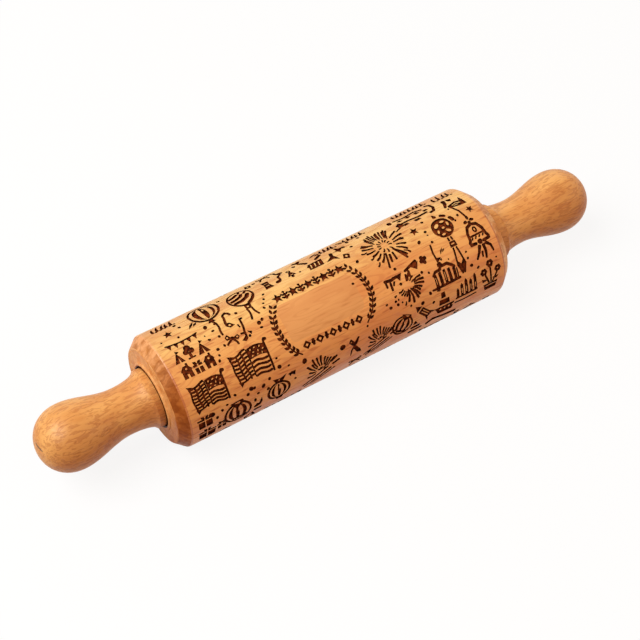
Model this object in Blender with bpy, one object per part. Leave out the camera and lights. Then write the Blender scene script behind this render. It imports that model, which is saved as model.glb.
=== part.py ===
"""Rolling pin: an engraved beech roller that turns on a steel axle between two beech handles.

Metres, +Z up. The axle lies along X with its middle at the origin, and the right handle is at +X.
The roller has a little end float between the handles, and here it lies against the left one.

The engraving's main figures are drawn flat and then wrapped round the roller. Places and sizes in
a drawing are counted in grid steps of its sheet, which is SHEET_ALONG by SHEET_ROUND steps.
"""

import math

import bmesh
import bpy
from mathutils import Matrix, Vector

# Fits
SEAT_GAP = 0.0003
RUNNING_CLEARANCE = 0.0003
MERGE_DISTANCE = 0.000001

# Roller
ROLLER_RADIUS = 0.0275
ROLLER_LENGTH = 0.1790
CHAMFER_LENGTH = 0.0049
CHAMFER_HEIGHT = 0.0043
AXLE_PASSAGE = 0.0016
RECESS_CLEARANCE = 0.0006
BEAD_WIDTH = 0.0020
BEAD_HEIGHT = 0.0007

# Engraving: the sheet's steps along and round the roller, and the widths of its lines in steps
ENGRAVING_DEPTH = 0.0010
CUTTER_RISE = 0.0012
SHEET_ALONG = 169.2
SHEET_ROUND = 172.8
REPEATS_ROUND = 2
BROAD_LINE = 1.2
FINE_LINE = 1.0
STAR_WAIST = 0.45

# Where the engraved figures of one repeat lie: (along, round) and their sizes, in grid steps
BALLOONS = ((-55.6, 12.0, 7.1), (-37.6, 9.8, 6.1), (-61.8, -43.8, 6.3), (-39.8, -43.2, 5.4))
BURSTS = ((33.6, 0.6, 10.4), (-17.4, -44.4, 10.0), (15.6, -42.4, 9.0))
STARS = (
    (-75.5, 7.8, 2.6),
    (49.8, 0.0, 2.6),
    (-24.4, -0.8, 2.6),
    (-8.2, -0.8, 2.6),
    (8.0, -0.8, 2.6),
    (30.6, -57.6, 3.0),
)
FLAGS = ((-72.2, -26.4, 16.2, 11.6), (-49.2, -22.8, 17.4, 13.0))
LOZENGES = (
    (-22.2, -26.3, 2.1),
    (-8.4, -26.3, 2.1),
    (5.4, -26.3, 2.1),
    (15.6, 4.2, 2.1),
    (-51.6, -45.0, 2.5),
    (0.2, -38.8, 3.2),
    (75.2, -36.4, 2.3),
    (78.6, -43.4, 2.0),
    (-55.4, -55.0, 3.6),
    (-46.6, -59.6, 2.4),
)
BOXES = (
    (-78.0, -47.4, 4.8),
    (-71.6, -14.2, 3.8),
    (-23.6, 9.8, 4.2),
    (1.2, 8.6, 5.0),
    (-24.6, -60.2, 4.4),
    (7.4, -58.8, 4.8),
    (76.4, -57.4, 4.6),
)
TENTS = (
    (-78.0, -6.4, 5.0),
    (-66.2, -6.4, 5.4),
    (-11.0, 9.4, 4.4),
    (14.8, 11.4, 4.0),
    (33.4, -27.4, 4.4),
    (-66.6, -58.6, 5.4),
    (50.6, -59.8, 5.8),
    (66.6, -57.2, 4.8),
)
COLUMNS = ((48.0, -26.2), (53.1, -26.2), (58.2, -26.2), (61.0, -37.2), (66.0, -37.2))
GROUNDS = (
    (-72.4, 0.8, 15.4),
    (51.2, 12.2, 5.0),
    (61.0, 7.4, 9.0),
    (34.0, -17.4, 15.0),
    (53.2, -30.2, 13.0),
    (60.6, -43.4, 13.0),
    (33.6, -48.8, 7.4),
)
WREATH_MIDDLE = (-8.4, -16.4)
WREATH_HALF_WIDTH = 19.0
WREATH_BULGE = 5.0
WREATH_HALF_HEIGHT = 16.6
WREATH_LEAVES = 5

# Handle, from the collar that turns in the roller's recess to the rounded end
COLLAR_RADIUS = 0.0141
COLLAR_LENGTH = 0.0092
COLLAR_EDGE = 0.0005
RIM_GAP = 0.0039
END_FLOAT = 0.0042
NECK_RADIUS = 0.0112
COVE_LENGTH = 0.0119
SWELL_LENGTH = 0.0251
GRIP_RADIUS = 0.0157
DOME_LENGTH = 0.0162
DOME_POWER = 2.1

# Axle, glued into a blind hole in each handle
AXLE_RADIUS = 0.0040
AXLE_GRIP = 0.0340
AXLE_EDGE = 0.0006
GLUE_ROOM = 0.0008
DRILL_POINT = 0.0024
GROOVE_COUNT = 3
GROOVE_PITCH = 0.0060
GROOVE_WIDTH = 0.0012
GROOVE_DEPTH = 0.0005

# Flanged bushes in the roller, and the washers between them and the collars
BUSH_WALL = 0.0028
BUSH_LENGTH = 0.0180
BUSH_EDGE = 0.0006
FLANGE_RADIUS = 0.0110
FLANGE_THICKNESS = 0.0015
WASHER_RADIUS = 0.0098
WASHER_THICKNESS = 0.0010

# Facets
ROLLER_SIDES = 56
RING_SIDES = 8
HANDLE_SIDES = 40
FITTING_SIDES = 24
BEAD_STEPS = 4
COVE_STEPS = 6
SWELL_STEPS = 8
DOME_STEPS = 8
SHARP_ANGLE = math.radians(30)

# Places that follow from the sizes, along the axle from the origin
RIM_TO_END = COVE_LENGTH + SWELL_LENGTH + DOME_LENGTH
HANDLE_LENGTH = COLLAR_LENGTH + RIM_TO_END
ROLLER_SHIFT = -END_FLOAT / 2
RIM_PLACE = (ROLLER_LENGTH + END_FLOAT) / 2 + RIM_GAP
COLLAR_PLACE = RIM_PLACE - COLLAR_LENGTH
RECESS_RADIUS = COLLAR_RADIUS + RECESS_CLEARANCE
RECESS_DEPTH = COLLAR_LENGTH - RIM_GAP + WASHER_THICKNESS + FLANGE_THICKNESS + 3 * SEAT_GAP
RECESS_FLOOR = ROLLER_LENGTH / 2 - RECESS_DEPTH
BUSH_BORE = AXLE_RADIUS + RUNNING_CLEARANCE
BUSH_RADIUS = BUSH_BORE + BUSH_WALL
AXLE_LENGTH = 2 * (COLLAR_PLACE + AXLE_GRIP)


def clear_scene():
    """Remove every object that the new file starts with."""
    for item in list(bpy.data.objects):
        bpy.data.objects.remove(item, do_unlink=True)


def linear(channel):
    """Turn one sRGB channel from 0 to 255 into a linear value."""
    value = channel / 255
    if value <= 0.04045:
        return value / 12.92
    return ((value + 0.055) / 1.055) ** 2.4


def material(name, color, roughness, metallic):
    """Make a Principled material from an sRGB colour."""
    made = bpy.data.materials.new(name)
    made.use_nodes = True
    shader = made.node_tree.nodes["Principled BSDF"]
    shader.inputs["Base Color"].default_value = (*[linear(channel) for channel in color], 1)
    shader.inputs["Roughness"].default_value = roughness
    shader.inputs["Metallic"].default_value = metallic
    return made


def turned(name, outline, sides, finish, closed):
    """Turn an outline of (place along X, radius) points about the X axis into one solid.

    A closed outline makes a ring. An open one starts and ends on the axis.
    The outline starts half a facet round from the lowest line, so a facet lies flat at the bottom.
    """
    half_facet = math.pi / sides
    form = bmesh.new()
    points = []
    for place, radius in outline:
        across = radius * math.sin(half_facet)
        down = radius * math.cos(half_facet)
        points.append(form.verts.new((place, across, -down)))
    edges = [form.edges.new(pair) for pair in zip(points, points[1:])]
    if closed:
        edges.append(form.edges.new((points[-1], points[0])))
    bmesh.ops.spin(
        form,
        geom=points + edges,
        cent=Vector((0, 0, 0)),
        axis=Vector((1, 0, 0)),
        dvec=Vector((0, 0, 0)),
        angle=math.tau,
        steps=sides,
        use_merge=True,
    )
    bmesh.ops.remove_doubles(form, verts=form.verts, dist=MERGE_DISTANCE)
    bmesh.ops.recalc_face_normals(form, faces=form.faces)
    mesh = bpy.data.meshes.new(name)
    form.to_mesh(mesh)
    form.free()
    mesh.shade_smooth()
    mesh.set_sharp_from_angle(angle=SHARP_ANGLE)
    mesh.materials.append(finish)
    piece = bpy.data.objects.new(name, mesh)
    bpy.context.collection.objects.link(piece)
    return piece


def place_on(piece, parent, along, mirrored=False):
    """Hang a piece on its parent, a distance along the axle, turned round if it faces -X."""
    piece.parent = parent
    piece.location = (along, 0, 0)
    if mirrored:
        piece.rotation_euler = (0, 0, math.pi)


def half_ring(steps):
    """Give (cosine, sine) pairs from one side of a half circle over its top to the other."""
    turns = [math.pi * step / steps for step in range(steps + 1)]
    return [(-math.cos(turn), math.sin(turn)) for turn in turns]


def roller_end_outline():
    """Outline of the roller's right end, from the axle passage out to the rolling surface."""
    face = ROLLER_LENGTH / 2
    pocket_radius = BUSH_RADIUS + SEAT_GAP
    pocket_floor = RECESS_FLOOR - BUSH_LENGTH - SEAT_GAP
    passage_radius = AXLE_RADIUS + AXLE_PASSAGE
    outline = [
        (pocket_floor, passage_radius),
        (pocket_floor, pocket_radius),
        (RECESS_FLOOR, pocket_radius),
        (RECESS_FLOOR, RECESS_RADIUS),
    ]
    bead_middle = RECESS_RADIUS + BEAD_WIDTH / 2
    for across, out in half_ring(BEAD_STEPS):
        outline.append((face + out * BEAD_HEIGHT, bead_middle + across * BEAD_WIDTH / 2))
    outline.append((face, ROLLER_RADIUS - CHAMFER_HEIGHT))
    outline.append((face - CHAMFER_LENGTH, ROLLER_RADIUS))
    return outline


def draw_panel(sheet, corners):
    """Draw a filled shape from its corners."""
    sheet.faces.new([sheet.verts.new((*corner, 0)) for corner in corners])


def draw_line(sheet, start, stop, width):
    """Draw a straight line from one place to another."""
    start = Vector(start)
    stop = Vector(stop)
    along = (stop - start).normalized()
    aside = Vector((-along.y, along.x)) * width / 2
    draw_panel(sheet, [start - aside, stop - aside, stop + aside, start + aside])


def draw_ring(sheet, middle, radius, width):
    """Draw a round line."""
    edges = set()
    for reach in (radius - width / 2, radius + width / 2):
        place = Matrix.Translation((*middle, 0))
        loop = bmesh.ops.create_circle(sheet, segments=RING_SIDES, radius=reach, matrix=place)
        for vert in loop["verts"]:
            edges.update(vert.link_edges)
    bmesh.ops.bridge_loops(sheet, edges=list(edges))


def draw_star(sheet, middle, radius):
    """Draw a filled star with five points."""
    place = Matrix.Translation((*middle, 0))
    made = bmesh.ops.create_circle(sheet, cap_ends=True, segments=10, radius=radius)["verts"]
    bmesh.ops.scale(sheet, vec=Vector((STAR_WAIST, STAR_WAIST, 1)), verts=made[1::2])
    bmesh.ops.transform(sheet, matrix=place, verts=made)


def draw_balloon(sheet, middle, radius):
    """Draw a balloon: a ring with a seam in it, and the knot under it."""
    across, up = middle
    draw_ring(sheet, middle, radius, BROAD_LINE)
    seam = radius * 0.62
    draw_line(sheet, (across, up - seam), (across, up + seam), BROAD_LINE)


def draw_burst(sheet, middle, reach, rays=8):
    """Draw a bursting firework, as rays round its middle."""
    centre = Vector(middle)
    for ray in range(rays):
        turn = math.tau * (ray + 0.25) / rays
        way = Vector((math.cos(turn), math.sin(turn))) * reach
        draw_line(sheet, centre + way * 0.34, centre + way, BROAD_LINE)


def draw_flag(sheet, middle, width, height):
    """Draw a striped flag with a filled corner, on its pole."""
    across, up = middle
    fold = across
    top = up + height / 2
    pitch = height / 3
    corner = height * 0.4
    draw_panel(
        sheet,
        [
            (fold + FINE_LINE, top - corner),
            (fold + width / 2 - 2 * FINE_LINE, top - corner),
            (fold + width / 2 - 2 * FINE_LINE, top),
            (fold + FINE_LINE, top),
        ],
    )
    for stripe in range(4):
        height_here = top - stripe * pitch
        draw_line(sheet, (across - width / 2, height_here), (fold, height_here), FINE_LINE)
        if stripe > 1:
            end = (fold + width / 2 - 2 * FINE_LINE, height_here)
            draw_line(sheet, (fold + FINE_LINE, height_here), end, FINE_LINE)
    pole = across + width / 2
    draw_line(sheet, (pole, top + BROAD_LINE), (pole, up - height / 2 - BROAD_LINE), FINE_LINE)


def draw_wreath(sheet):
    """Draw the wreath's leaves, standing along both sides of an oval."""
    centre = Vector(WREATH_MIDDLE)
    for side in (-1, 1):
        for leaf in range(WREATH_LEAVES):
            turn = math.radians(52) * (2 * leaf / (WREATH_LEAVES - 1) - 1)
            along = side * (WREATH_HALF_WIDTH + WREATH_BULGE * math.cos(turn))
            place = Vector((along, WREATH_HALF_HEIGHT * math.sin(turn)))
            lean = Vector((side * 1.4, 1.8))
            draw_line(sheet, centre + place - lean, centre + place + lean, BROAD_LINE)


def draw_lollipop(sheet):
    """Draw a round lollipop on its stick."""
    draw_ring(sheet, (62.8, -4.6), 4.9, BROAD_LINE)
    draw_line(sheet, (62.8, -12.0), (62.8, -28.0), 2 * BROAD_LINE)


def draw_bell(sheet):
    """Draw a bell with a ribbon: its two flanks, its rim and its clapper."""
    for side in (-1, 1):
        draw_line(sheet, (75.8 + side * 4.4, -17.0), (75.8 + side * 1.6, -9.6), BROAD_LINE)
    draw_line(sheet, (71.0, -18.8), (80.8, -18.8), BROAD_LINE)
    draw_line(sheet, (75.8, -16.4), (75.8, -12.6), 2 * BROAD_LINE)
    draw_line(sheet, (76.0, -20.6), (76.0, -26.4), BROAD_LINE)


def draw_pennant(sheet):
    """Draw a pennant on its pole."""
    draw_panel(sheet, [(73.4, 3.4), (80.8, 2.4), (79.2, 5.2), (73.6, 6.4)])
    draw_line(sheet, (72.8, 1.6), (75.6, -5.0), FINE_LINE)


def draw_repeat(sheet):
    """Draw every main figure of one repeat."""
    for along, up, radius in BALLOONS:
        draw_balloon(sheet, (along, up), radius)
    for along, up, reach in BURSTS:
        draw_burst(sheet, (along, up), reach)
    for along, up, radius in STARS:
        draw_star(sheet, (along, up), radius)
    for along, up, width, height in FLAGS:
        draw_flag(sheet, (along, up), width, height)
    for along, up, reach in LOZENGES:
        draw_panel(
            sheet,
            [(along, up - reach), (along + reach, up), (along, up + reach), (along - reach, up)],
        )
    for along, up, size in BOXES:
        draw_line(sheet, (along - size / 2, up), (along + size / 2, up), size)
    for along, up, size in TENTS:
        half = size / 2
        draw_panel(sheet, [(along - half, up - half), (along + half, up - half), (along, up + half)])
    for along, up in COLUMNS:
        draw_line(sheet, (along, up - 2.6), (along, up + 4.0), 2 * FINE_LINE)
    for along, up, width in GROUNDS:
        draw_line(sheet, (along - width / 2, up), (along + width / 2, up), FINE_LINE)
    draw_wreath(sheet)
    draw_lollipop(sheet)
    draw_bell(sheet)
    draw_pennant(sheet)


def engraving_sheet():
    """Draw the whole sheet. Each repeat is the mirror image of the one before it."""
    sheet = bmesh.new()
    for repeat in range(REPEATS_ROUND):
        settled = set(sheet.verts)
        draw_repeat(sheet)
        drawn = [vert for vert in sheet.verts if vert not in settled]
        fall = Vector((0, -repeat * SHEET_ROUND / REPEATS_ROUND, 0))
        bmesh.ops.scale(sheet, vec=Vector((-1 if repeat % 2 else 1, 1, 1)), verts=drawn)
        bmesh.ops.translate(sheet, vec=fall, verts=drawn)
    return sheet


def make_engraving_cutter():
    """Cutter for the engraving: the sheet's figures, given depth and wrapped round the roller."""
    sheet = engraving_sheet()
    surface = set(sheet.verts)
    bmesh.ops.extrude_face_region(sheet, geom=list(sheet.faces))
    rolling_length = ROLLER_LENGTH - 2 * CHAMFER_LENGTH
    for vert in sheet.verts:
        along = vert.co.x * rolling_length / SHEET_ALONG
        turn = vert.co.y * math.tau / SHEET_ROUND
        reach = ROLLER_RADIUS + (CUTTER_RISE if vert in surface else -ENGRAVING_DEPTH)
        vert.co = (along, reach * math.sin(turn), reach * math.cos(turn))
    bmesh.ops.recalc_face_normals(sheet, faces=sheet.faces)
    mesh = bpy.data.meshes.new("engraving_cutter")
    sheet.to_mesh(mesh)
    sheet.free()
    cutter = bpy.data.objects.new("engraving_cutter", mesh)
    bpy.context.collection.objects.link(cutter)
    cutter.hide_render = True
    cutter.display_type = "WIRE"
    return cutter


def engrave(roller):
    """Cut the engraving into the roller and shade its new edges sharp."""
    cutter = make_engraving_cutter()
    cut = roller.modifiers.new("engraving", "BOOLEAN")
    cut.operation = "DIFFERENCE"
    cut.solver = "EXACT"
    cut.object = cutter
    graph = bpy.context.evaluated_depsgraph_get()
    plain = roller.data
    roller.data = bpy.data.meshes.new_from_object(roller.evaluated_get(graph))
    roller.data.name = plain.name
    roller.modifiers.clear()
    bpy.data.objects.remove(cutter, do_unlink=True)
    bpy.data.meshes.remove(plain)
    roller.data.shade_smooth()
    roller.data.set_sharp_from_angle(angle=SHARP_ANGLE)


def make_roller():
    """Beech roller: engraved, with chamfered ends, beaded recesses and pockets for the bushes."""
    right = roller_end_outline()
    left = [(-place, radius) for place, radius in reversed(right)]
    finish = material("oiled_beech_roller", (222, 146, 82), 0.5, 0)
    roller = turned("roller", right + left, ROLLER_SIDES, finish, closed=True)
    engrave(roller)
    return roller


def cove_outline(start):
    """Hollow curve, a quarter ellipse, from the collar's rim down to the neck."""
    outline = []
    for step in range(1, COVE_STEPS + 1):
        turn = math.pi / 2 * step / COVE_STEPS
        along = COVE_LENGTH * (1 - math.cos(turn))
        fall = (COLLAR_RADIUS - NECK_RADIUS) * math.sin(turn)
        outline.append((start + along, COLLAR_RADIUS - fall))
    return outline


def swell_outline(start):
    """Smooth S curve, half a cosine wave, from the neck up to the thickest part of the grip."""
    outline = []
    for step in range(1, SWELL_STEPS + 1):
        step_share = step / SWELL_STEPS
        rise = (GRIP_RADIUS - NECK_RADIUS) * (1 - math.cos(math.pi * step_share)) / 2
        outline.append((start + SWELL_LENGTH * step_share, NECK_RADIUS + rise))
    return outline


def dome_outline(start):
    """Rounded end, a quarter of a superellipse, from the thickest part to the tip on the axis."""
    outline = []
    for step in range(1, DOME_STEPS):
        turn = math.pi / 2 * step / DOME_STEPS
        along = DOME_LENGTH * math.sin(turn) ** (2 / DOME_POWER)
        radius = GRIP_RADIUS * math.cos(turn) ** (2 / DOME_POWER)
        outline.append((start + along, radius))
    outline.append((start + DOME_LENGTH, 0))
    return outline


def make_handle(name, finish):
    """Turned handle: blind axle hole, collar, cove, neck, swelling grip and rounded end.

    Its own origin is the middle of the collar's end face, and it points along +X.
    """
    hole_radius = AXLE_RADIUS + SEAT_GAP
    hole_depth = AXLE_GRIP + GLUE_ROOM
    outline = [
        (hole_depth + DRILL_POINT, 0),
        (hole_depth, hole_radius),
        (COLLAR_EDGE, hole_radius),
        (0, hole_radius + COLLAR_EDGE),
        (0, COLLAR_RADIUS - COLLAR_EDGE),
        (COLLAR_EDGE, COLLAR_RADIUS),
        (COLLAR_LENGTH, COLLAR_RADIUS),
    ]
    outline += cove_outline(COLLAR_LENGTH)
    outline += swell_outline(COLLAR_LENGTH + COVE_LENGTH)
    outline += dome_outline(HANDLE_LENGTH - DOME_LENGTH)
    return turned(name, outline, HANDLE_SIDES, finish, closed=False)


def groove_outline(middle):
    """Square glue groove in the axle, around a place along it."""
    near = middle - GROOVE_WIDTH / 2
    far = middle + GROOVE_WIDTH / 2
    floor = AXLE_RADIUS - GROOVE_DEPTH
    return [(near, AXLE_RADIUS), (near, floor), (far, floor), (far, AXLE_RADIUS)]


def make_axle():
    """Steel rod with bevelled ends and glue grooves where the handles hold it."""
    end = AXLE_LENGTH / 2
    right = []
    for number in reversed(range(1, GROOVE_COUNT + 1)):
        right += groove_outline(end - number * GROOVE_PITCH)
    right += [(end - AXLE_EDGE, AXLE_RADIUS), (end, AXLE_RADIUS - AXLE_EDGE), (end, 0)]
    left = [(-place, radius) for place, radius in reversed(right)]
    finish = material("brushed_steel_axle", (168, 170, 172), 0.35, 1)
    return turned("axle_rod", left + right, FITTING_SIDES, finish, closed=False)


def make_bush(name, finish):
    """Nylon bush with a flange. Its own origin is the flange's outer face, and the sleeve is at -X."""
    nose = -FLANGE_THICKNESS - BUSH_LENGTH
    outline = [
        (nose, BUSH_BORE),
        (nose, BUSH_RADIUS - BUSH_EDGE),
        (nose + BUSH_EDGE, BUSH_RADIUS),
        (-FLANGE_THICKNESS, BUSH_RADIUS),
        (-FLANGE_THICKNESS, FLANGE_RADIUS),
        (0, FLANGE_RADIUS),
        (0, BUSH_BORE + BUSH_EDGE),
        (-BUSH_EDGE, BUSH_BORE),
    ]
    return turned(name, outline, FITTING_SIDES, finish, closed=True)


def make_washer(name, finish):
    """Flat washer. Its own origin is the middle of its thickness."""
    back = -WASHER_THICKNESS / 2
    front = WASHER_THICKNESS / 2
    outline = [(back, BUSH_BORE), (back, WASHER_RADIUS), (front, WASHER_RADIUS), (front, BUSH_BORE)]
    return turned(name, outline, FITTING_SIDES, finish, closed=True)


def assemble():
    """Make every piece and put it in its place on the axle or on the roller."""
    axle = make_axle()
    spin = bpy.data.objects.new("roller_spin", None)
    bpy.context.collection.objects.link(spin)
    spin.parent = axle
    roller = make_roller()
    place_on(roller, spin, ROLLER_SHIFT)

    flange_face = RECESS_FLOOR + SEAT_GAP + FLANGE_THICKNESS
    washer_middle = flange_face + SEAT_GAP + WASHER_THICKNESS / 2
    for side, facing in (("left", -1), ("right", 1)):
        mirrored = facing < 0
        wood = material("oiled_beech_handle_" + side, (226, 152, 86), 0.45, 0)
        nylon = material("nylon_bush_" + side, (232, 226, 212), 0.5, 0)
        acetal = material("acetal_washer_" + side, (236, 234, 228), 0.4, 0)
        place_on(make_handle("handle_" + side, wood), axle, facing * COLLAR_PLACE, mirrored)
        place_on(make_bush("bushing_" + side, nylon), roller, facing * flange_face, mirrored)
        washer = make_washer("thrust_washer_" + side, acetal)
        place_on(washer, axle, ROLLER_SHIFT + facing * washer_middle, mirrored)


clear_scene()
assemble()
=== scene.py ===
"""Engraved rolling pin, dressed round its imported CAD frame.

The frame is in metres, +Z up, with the axle along X. The sizes in this file are in millimetres in
that same frame, and a piece is scaled to metres when its mesh is finished. The engraving is drawn
flat: x runs along the roller from its middle, y runs up the sheet from the roller's top line
towards the back, and the sheet is then carved and bent round the roller.
"""

import logging
import math
import random
from collections.abc import Callable, Iterable, Sequence
from dataclasses import dataclass, replace
from enum import Enum

import bmesh
import bpy
from bmesh.types import BMEdge, BMesh, BMFace, BMVert
from mathutils import Matrix, Vector, noise
from mathutils.bvhtree import BVHTree
from mathutils.geometry import delaunay_2d_cdt


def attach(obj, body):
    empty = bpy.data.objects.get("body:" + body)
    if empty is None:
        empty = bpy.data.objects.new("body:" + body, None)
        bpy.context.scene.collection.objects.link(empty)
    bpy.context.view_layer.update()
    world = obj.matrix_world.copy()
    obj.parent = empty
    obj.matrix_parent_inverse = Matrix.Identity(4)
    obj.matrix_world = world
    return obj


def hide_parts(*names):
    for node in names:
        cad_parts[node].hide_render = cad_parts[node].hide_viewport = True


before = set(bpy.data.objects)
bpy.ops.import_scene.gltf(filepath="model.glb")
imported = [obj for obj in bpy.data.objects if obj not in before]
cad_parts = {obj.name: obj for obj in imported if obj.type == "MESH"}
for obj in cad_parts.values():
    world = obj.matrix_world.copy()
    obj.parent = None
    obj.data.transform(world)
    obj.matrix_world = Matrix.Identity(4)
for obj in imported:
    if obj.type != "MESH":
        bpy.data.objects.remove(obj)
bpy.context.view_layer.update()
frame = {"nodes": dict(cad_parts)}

Point = tuple[float, float]
Place = tuple[float, float, float]
Path = Sequence[Point]

log = logging.getLogger("rolling_pin")

MM = 0.001

# In millimetres
MERGE_DISTANCE = 0.002
CUT_DISTANCE = 0.0005

SHARP_ANGLE = math.radians(32)

# Blender's noise follows the clock unless it is given a seed
WAVER_SEED = 7

# Widths of the pen's lines
LINE = 0.85
FINE = 0.65
BOLD = 1.15

WHITE = (1.0, 1.0, 1.0, 1.0)


class Side(Enum):
    """The two ends of the pin, and which way each one faces along X."""

    LEFT = -1
    RIGHT = 1

    @property
    def word(self) -> str:
        """Name of the side, as the nodes have it."""
        return self.name.lower()


class Mark(Enum):
    """What a face of the drawing does to the wood. Where faces overlap, the higher one wins."""

    SANDED = 0
    BURNT = 1
    LEFT = 2


class Surface(Enum):
    """Material places of the roller's mesh."""

    BARREL = 0
    END = 1
    EDGE = 2
    WALL = 3
    FLOOR = 4
    # Dark recess wood: painted shade in the gap round the collars
    BORE = 5
    PANEL = 6
    BEVEL = 7
    # Paler copy of the bevel: painted light on the right end
    PAINTED_LIGHT_BEVEL = 8


def linear(colour: str) -> tuple[float, float, float, float]:
    """Turn an sRGB hex colour into linear values.

    Args:
        colour: Six hex digits after a hash.

    Returns:
        Linear red, green, blue and an alpha of one.
    """
    channels = [int(colour[place : place + 2], 16) / 255 for place in (1, 3, 5)]
    values = [
        value / 12.92 if value <= 0.04045 else ((value + 0.055) / 1.055) ** 2.4 for value in channels
    ]
    return (*values, 1.0)


def add_node(tree: bpy.types.NodeTree, kind: str, inputs: dict, **settings) -> bpy.types.Node:
    """Add a node to a tree, with its settings and links.

    Args:
        tree: The material's or world's node tree.
        kind: Blender's name for the node type.
        inputs: For each input, by name or place, a value or the output socket that feeds it.
        **settings: The node's own properties.

    Returns:
        The new node.
    """
    node = tree.nodes.new(kind)
    for name, value in settings.items():
        setattr(node, name, value)
    for key, value in inputs.items():
        if isinstance(value, bpy.types.NodeSocket):
            tree.links.new(value, node.inputs[key])
        else:
            node.inputs[key].default_value = value
    return node


def new_material(name: str) -> bpy.types.Material:
    """Make an empty node material.

    Args:
        name: What the finish is called.

    Returns:
        A material whose tree has only its output node.
    """
    made = bpy.data.materials.new(name)
    made.use_nodes = True
    made.node_tree.nodes.clear()
    made.node_tree.nodes.new("ShaderNodeOutputMaterial")
    return made


def set_surface(made: bpy.types.Material, shader: bpy.types.Node) -> None:
    """Link a shader to its material's output."""
    output = made.node_tree.nodes["Material Output"]
    made.node_tree.links.new(shader.outputs[0], output.inputs["Surface"])


@dataclass(frozen=True)
class Beech:
    """Beech, turned, sanded and wiped with oil.

    To the eye it is a warm orange gold. Thin wavy lines run along it where the turning cuts the
    growth rings, darker patches lie under them, and short dark flecks, the ray ends, are strewn
    along the grain. The oil gives a satin gloss that the flecks break. Real flecks and lines are
    about 0.2 mm wide. They are drawn two to three times as wide here, so that they show at the
    photograph's scale.

    Attributes:
        name: What the finish is called.
        pale: Colour of the early wood.
        deep: Colour of the broad darker patches.
        line: Colour of the wavy lines.
        fleck: Colour of the flecks.
        line_length: How long a line's waves are, along the grain.
        line_width: How far the waves reach across the grain.
        line_count: How many lines there are from one wave's valley to its crest.
        line_swirl: How much the lines curl.
        line_share: How strongly the lines show.
        fleck_length: Length of a fleck along the grain.
        fleck_width: Width of a fleck.
        fleck_share: How strongly the flecks show.
        patch_size: Width of the broad patches.
        patch_stretch: Their length along the grain for a width of one.
        patch_share: How strongly the patches show.
        gloss_roughness: Roughness of the oiled surface.
        gloss_spread: How far that changes, down between the flecks and up on them.
        shine: How much it mirrors, where 0.5 is a full coat of oil.
        dent: Depth of the flecks and lines as a bump.
        drift: Moves the whole pattern, so that two pieces differ.
        shade_tint: Painted shade: tint over the side that the lights leave darker, white for none.
        shade_turn: Where that shaded side is, in degrees from the top towards the front.
        shade_start: How far out along that direction the painted shade starts.
        shade_stop: How far out it is full.
        check: Place of a fine drying check in the end grain, if there is one.
        check_size: The check's reach along, across and up.
        check_colour: Colour inside the check.
        check_share: How dark it is at its middle.
    """

    name: str
    pale: str = "#F6C170"
    deep: str = "#E2964A"
    line: str = "#BE6420"
    fleck: str = "#B45E20"
    line_length: float = 30.0
    line_width: float = 5.0
    line_count: float = 7.0
    line_swirl: float = 0.3
    line_share: float = 0.27
    fleck_length: float = 9.0
    fleck_width: float = 1.2
    fleck_share: float = 0.6
    patch_size: float = 11.0
    patch_stretch: float = 4.0
    patch_share: float = 0.7
    gloss_roughness: float = 0.4
    gloss_spread: tuple[float, float] = (-0.05, 0.18)
    shine: float = 0.7
    dent: float = 0.05
    drift: float = 0.0
    shade_tint: str = "#FFFFFF"
    shade_turn: float = 90.0
    shade_start: float = 5.0
    shade_stop: float = 20.0
    check: Place | None = None
    check_size: Place = (2.5, 4.2, 0.7)
    check_colour: str = "#4A230E"
    check_share: float = 0.85

    def build(self) -> bpy.types.Material:
        """Build the wood's node tree.

        Returns:
            The finished material.
        """
        made = new_material(self.name)
        tree = made.node_tree
        values = self.patterns(tree)
        # Pattern, where it starts to show and where it is full, how strongly, colour, and how it is laid
        layers = [
            ("patches", 0.38, 0.64, self.patch_share, self.deep, "MIX"),
            ("lines", 0.1, 0.95, self.line_share, self.line, "MIX"),
            ("flecks", 0.59, 0.72, self.fleck_share, self.fleck, "MIX"),
            # The last layer is painted shade: it darkens the side that the lights leave in shade
            ("out", self.shade_start * MM, self.shade_stop * MM, 1.0, self.shade_tint, "MULTIPLY"),
        ]
        if self.check:
            layers.append(("check", 0.08, 0.2, self.check_share, self.check_colour, "MIX"))
        wood = linear(self.pale)
        amounts = {}
        for name, low, high, share, colour, blend in layers:
            rise = {"Value": values[name], "From Min": low, "From Max": high, "To Max": share}
            smooth = add_node(tree, "ShaderNodeMapRange", rise, interpolation_type="SMOOTHSTEP")
            amounts[name] = smooth.outputs["Result"]
            laid = {"Fac": amounts[name], "Color1": wood, "Color2": linear(colour)}
            wood = add_node(tree, "ShaderNodeMixRGB", laid, blend_type=blend).outputs["Color"]

        gloss = {
            "Value": values["flecks"],
            "From Min": 0.3,
            "From Max": 0.75,
            "To Min": self.gloss_roughness + self.gloss_spread[0],
            "To Max": self.gloss_roughness + self.gloss_spread[1],
        }
        roughness = add_node(tree, "ShaderNodeMapRange", gloss).outputs["Result"]
        cuts = {0: amounts["lines"], 1: amounts["flecks"]}
        relief = add_node(tree, "ShaderNodeMath", cuts, operation="ADD").outputs["Value"]
        dents = {"Height": relief, "Strength": 0.5, "Distance": self.dent * MM}
        bump = add_node(tree, "ShaderNodeBump", dents, invert=True).outputs["Normal"]
        surface = {
            "Base Color": wood,
            "Roughness": roughness,
            "IOR": 1.48,
            "Specular IOR Level": self.shine,
            "Normal": bump,
        }
        set_surface(made, add_node(tree, "ShaderNodeBsdfPrincipled", surface))
        return made

    def patterns(self, tree: bpy.types.NodeTree) -> dict[str, bpy.types.NodeSocket]:
        """Add the nodes that say where the wood's lines, flecks and patches are, and its painted shade.

        Args:
            tree: The material's tree.

        Returns:
            The value of each pattern by its name.
        """
        coordinates = add_node(tree, "ShaderNodeTexCoord", {}).outputs["Object"]
        patch_length = self.patch_size * self.patch_stretch
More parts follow.
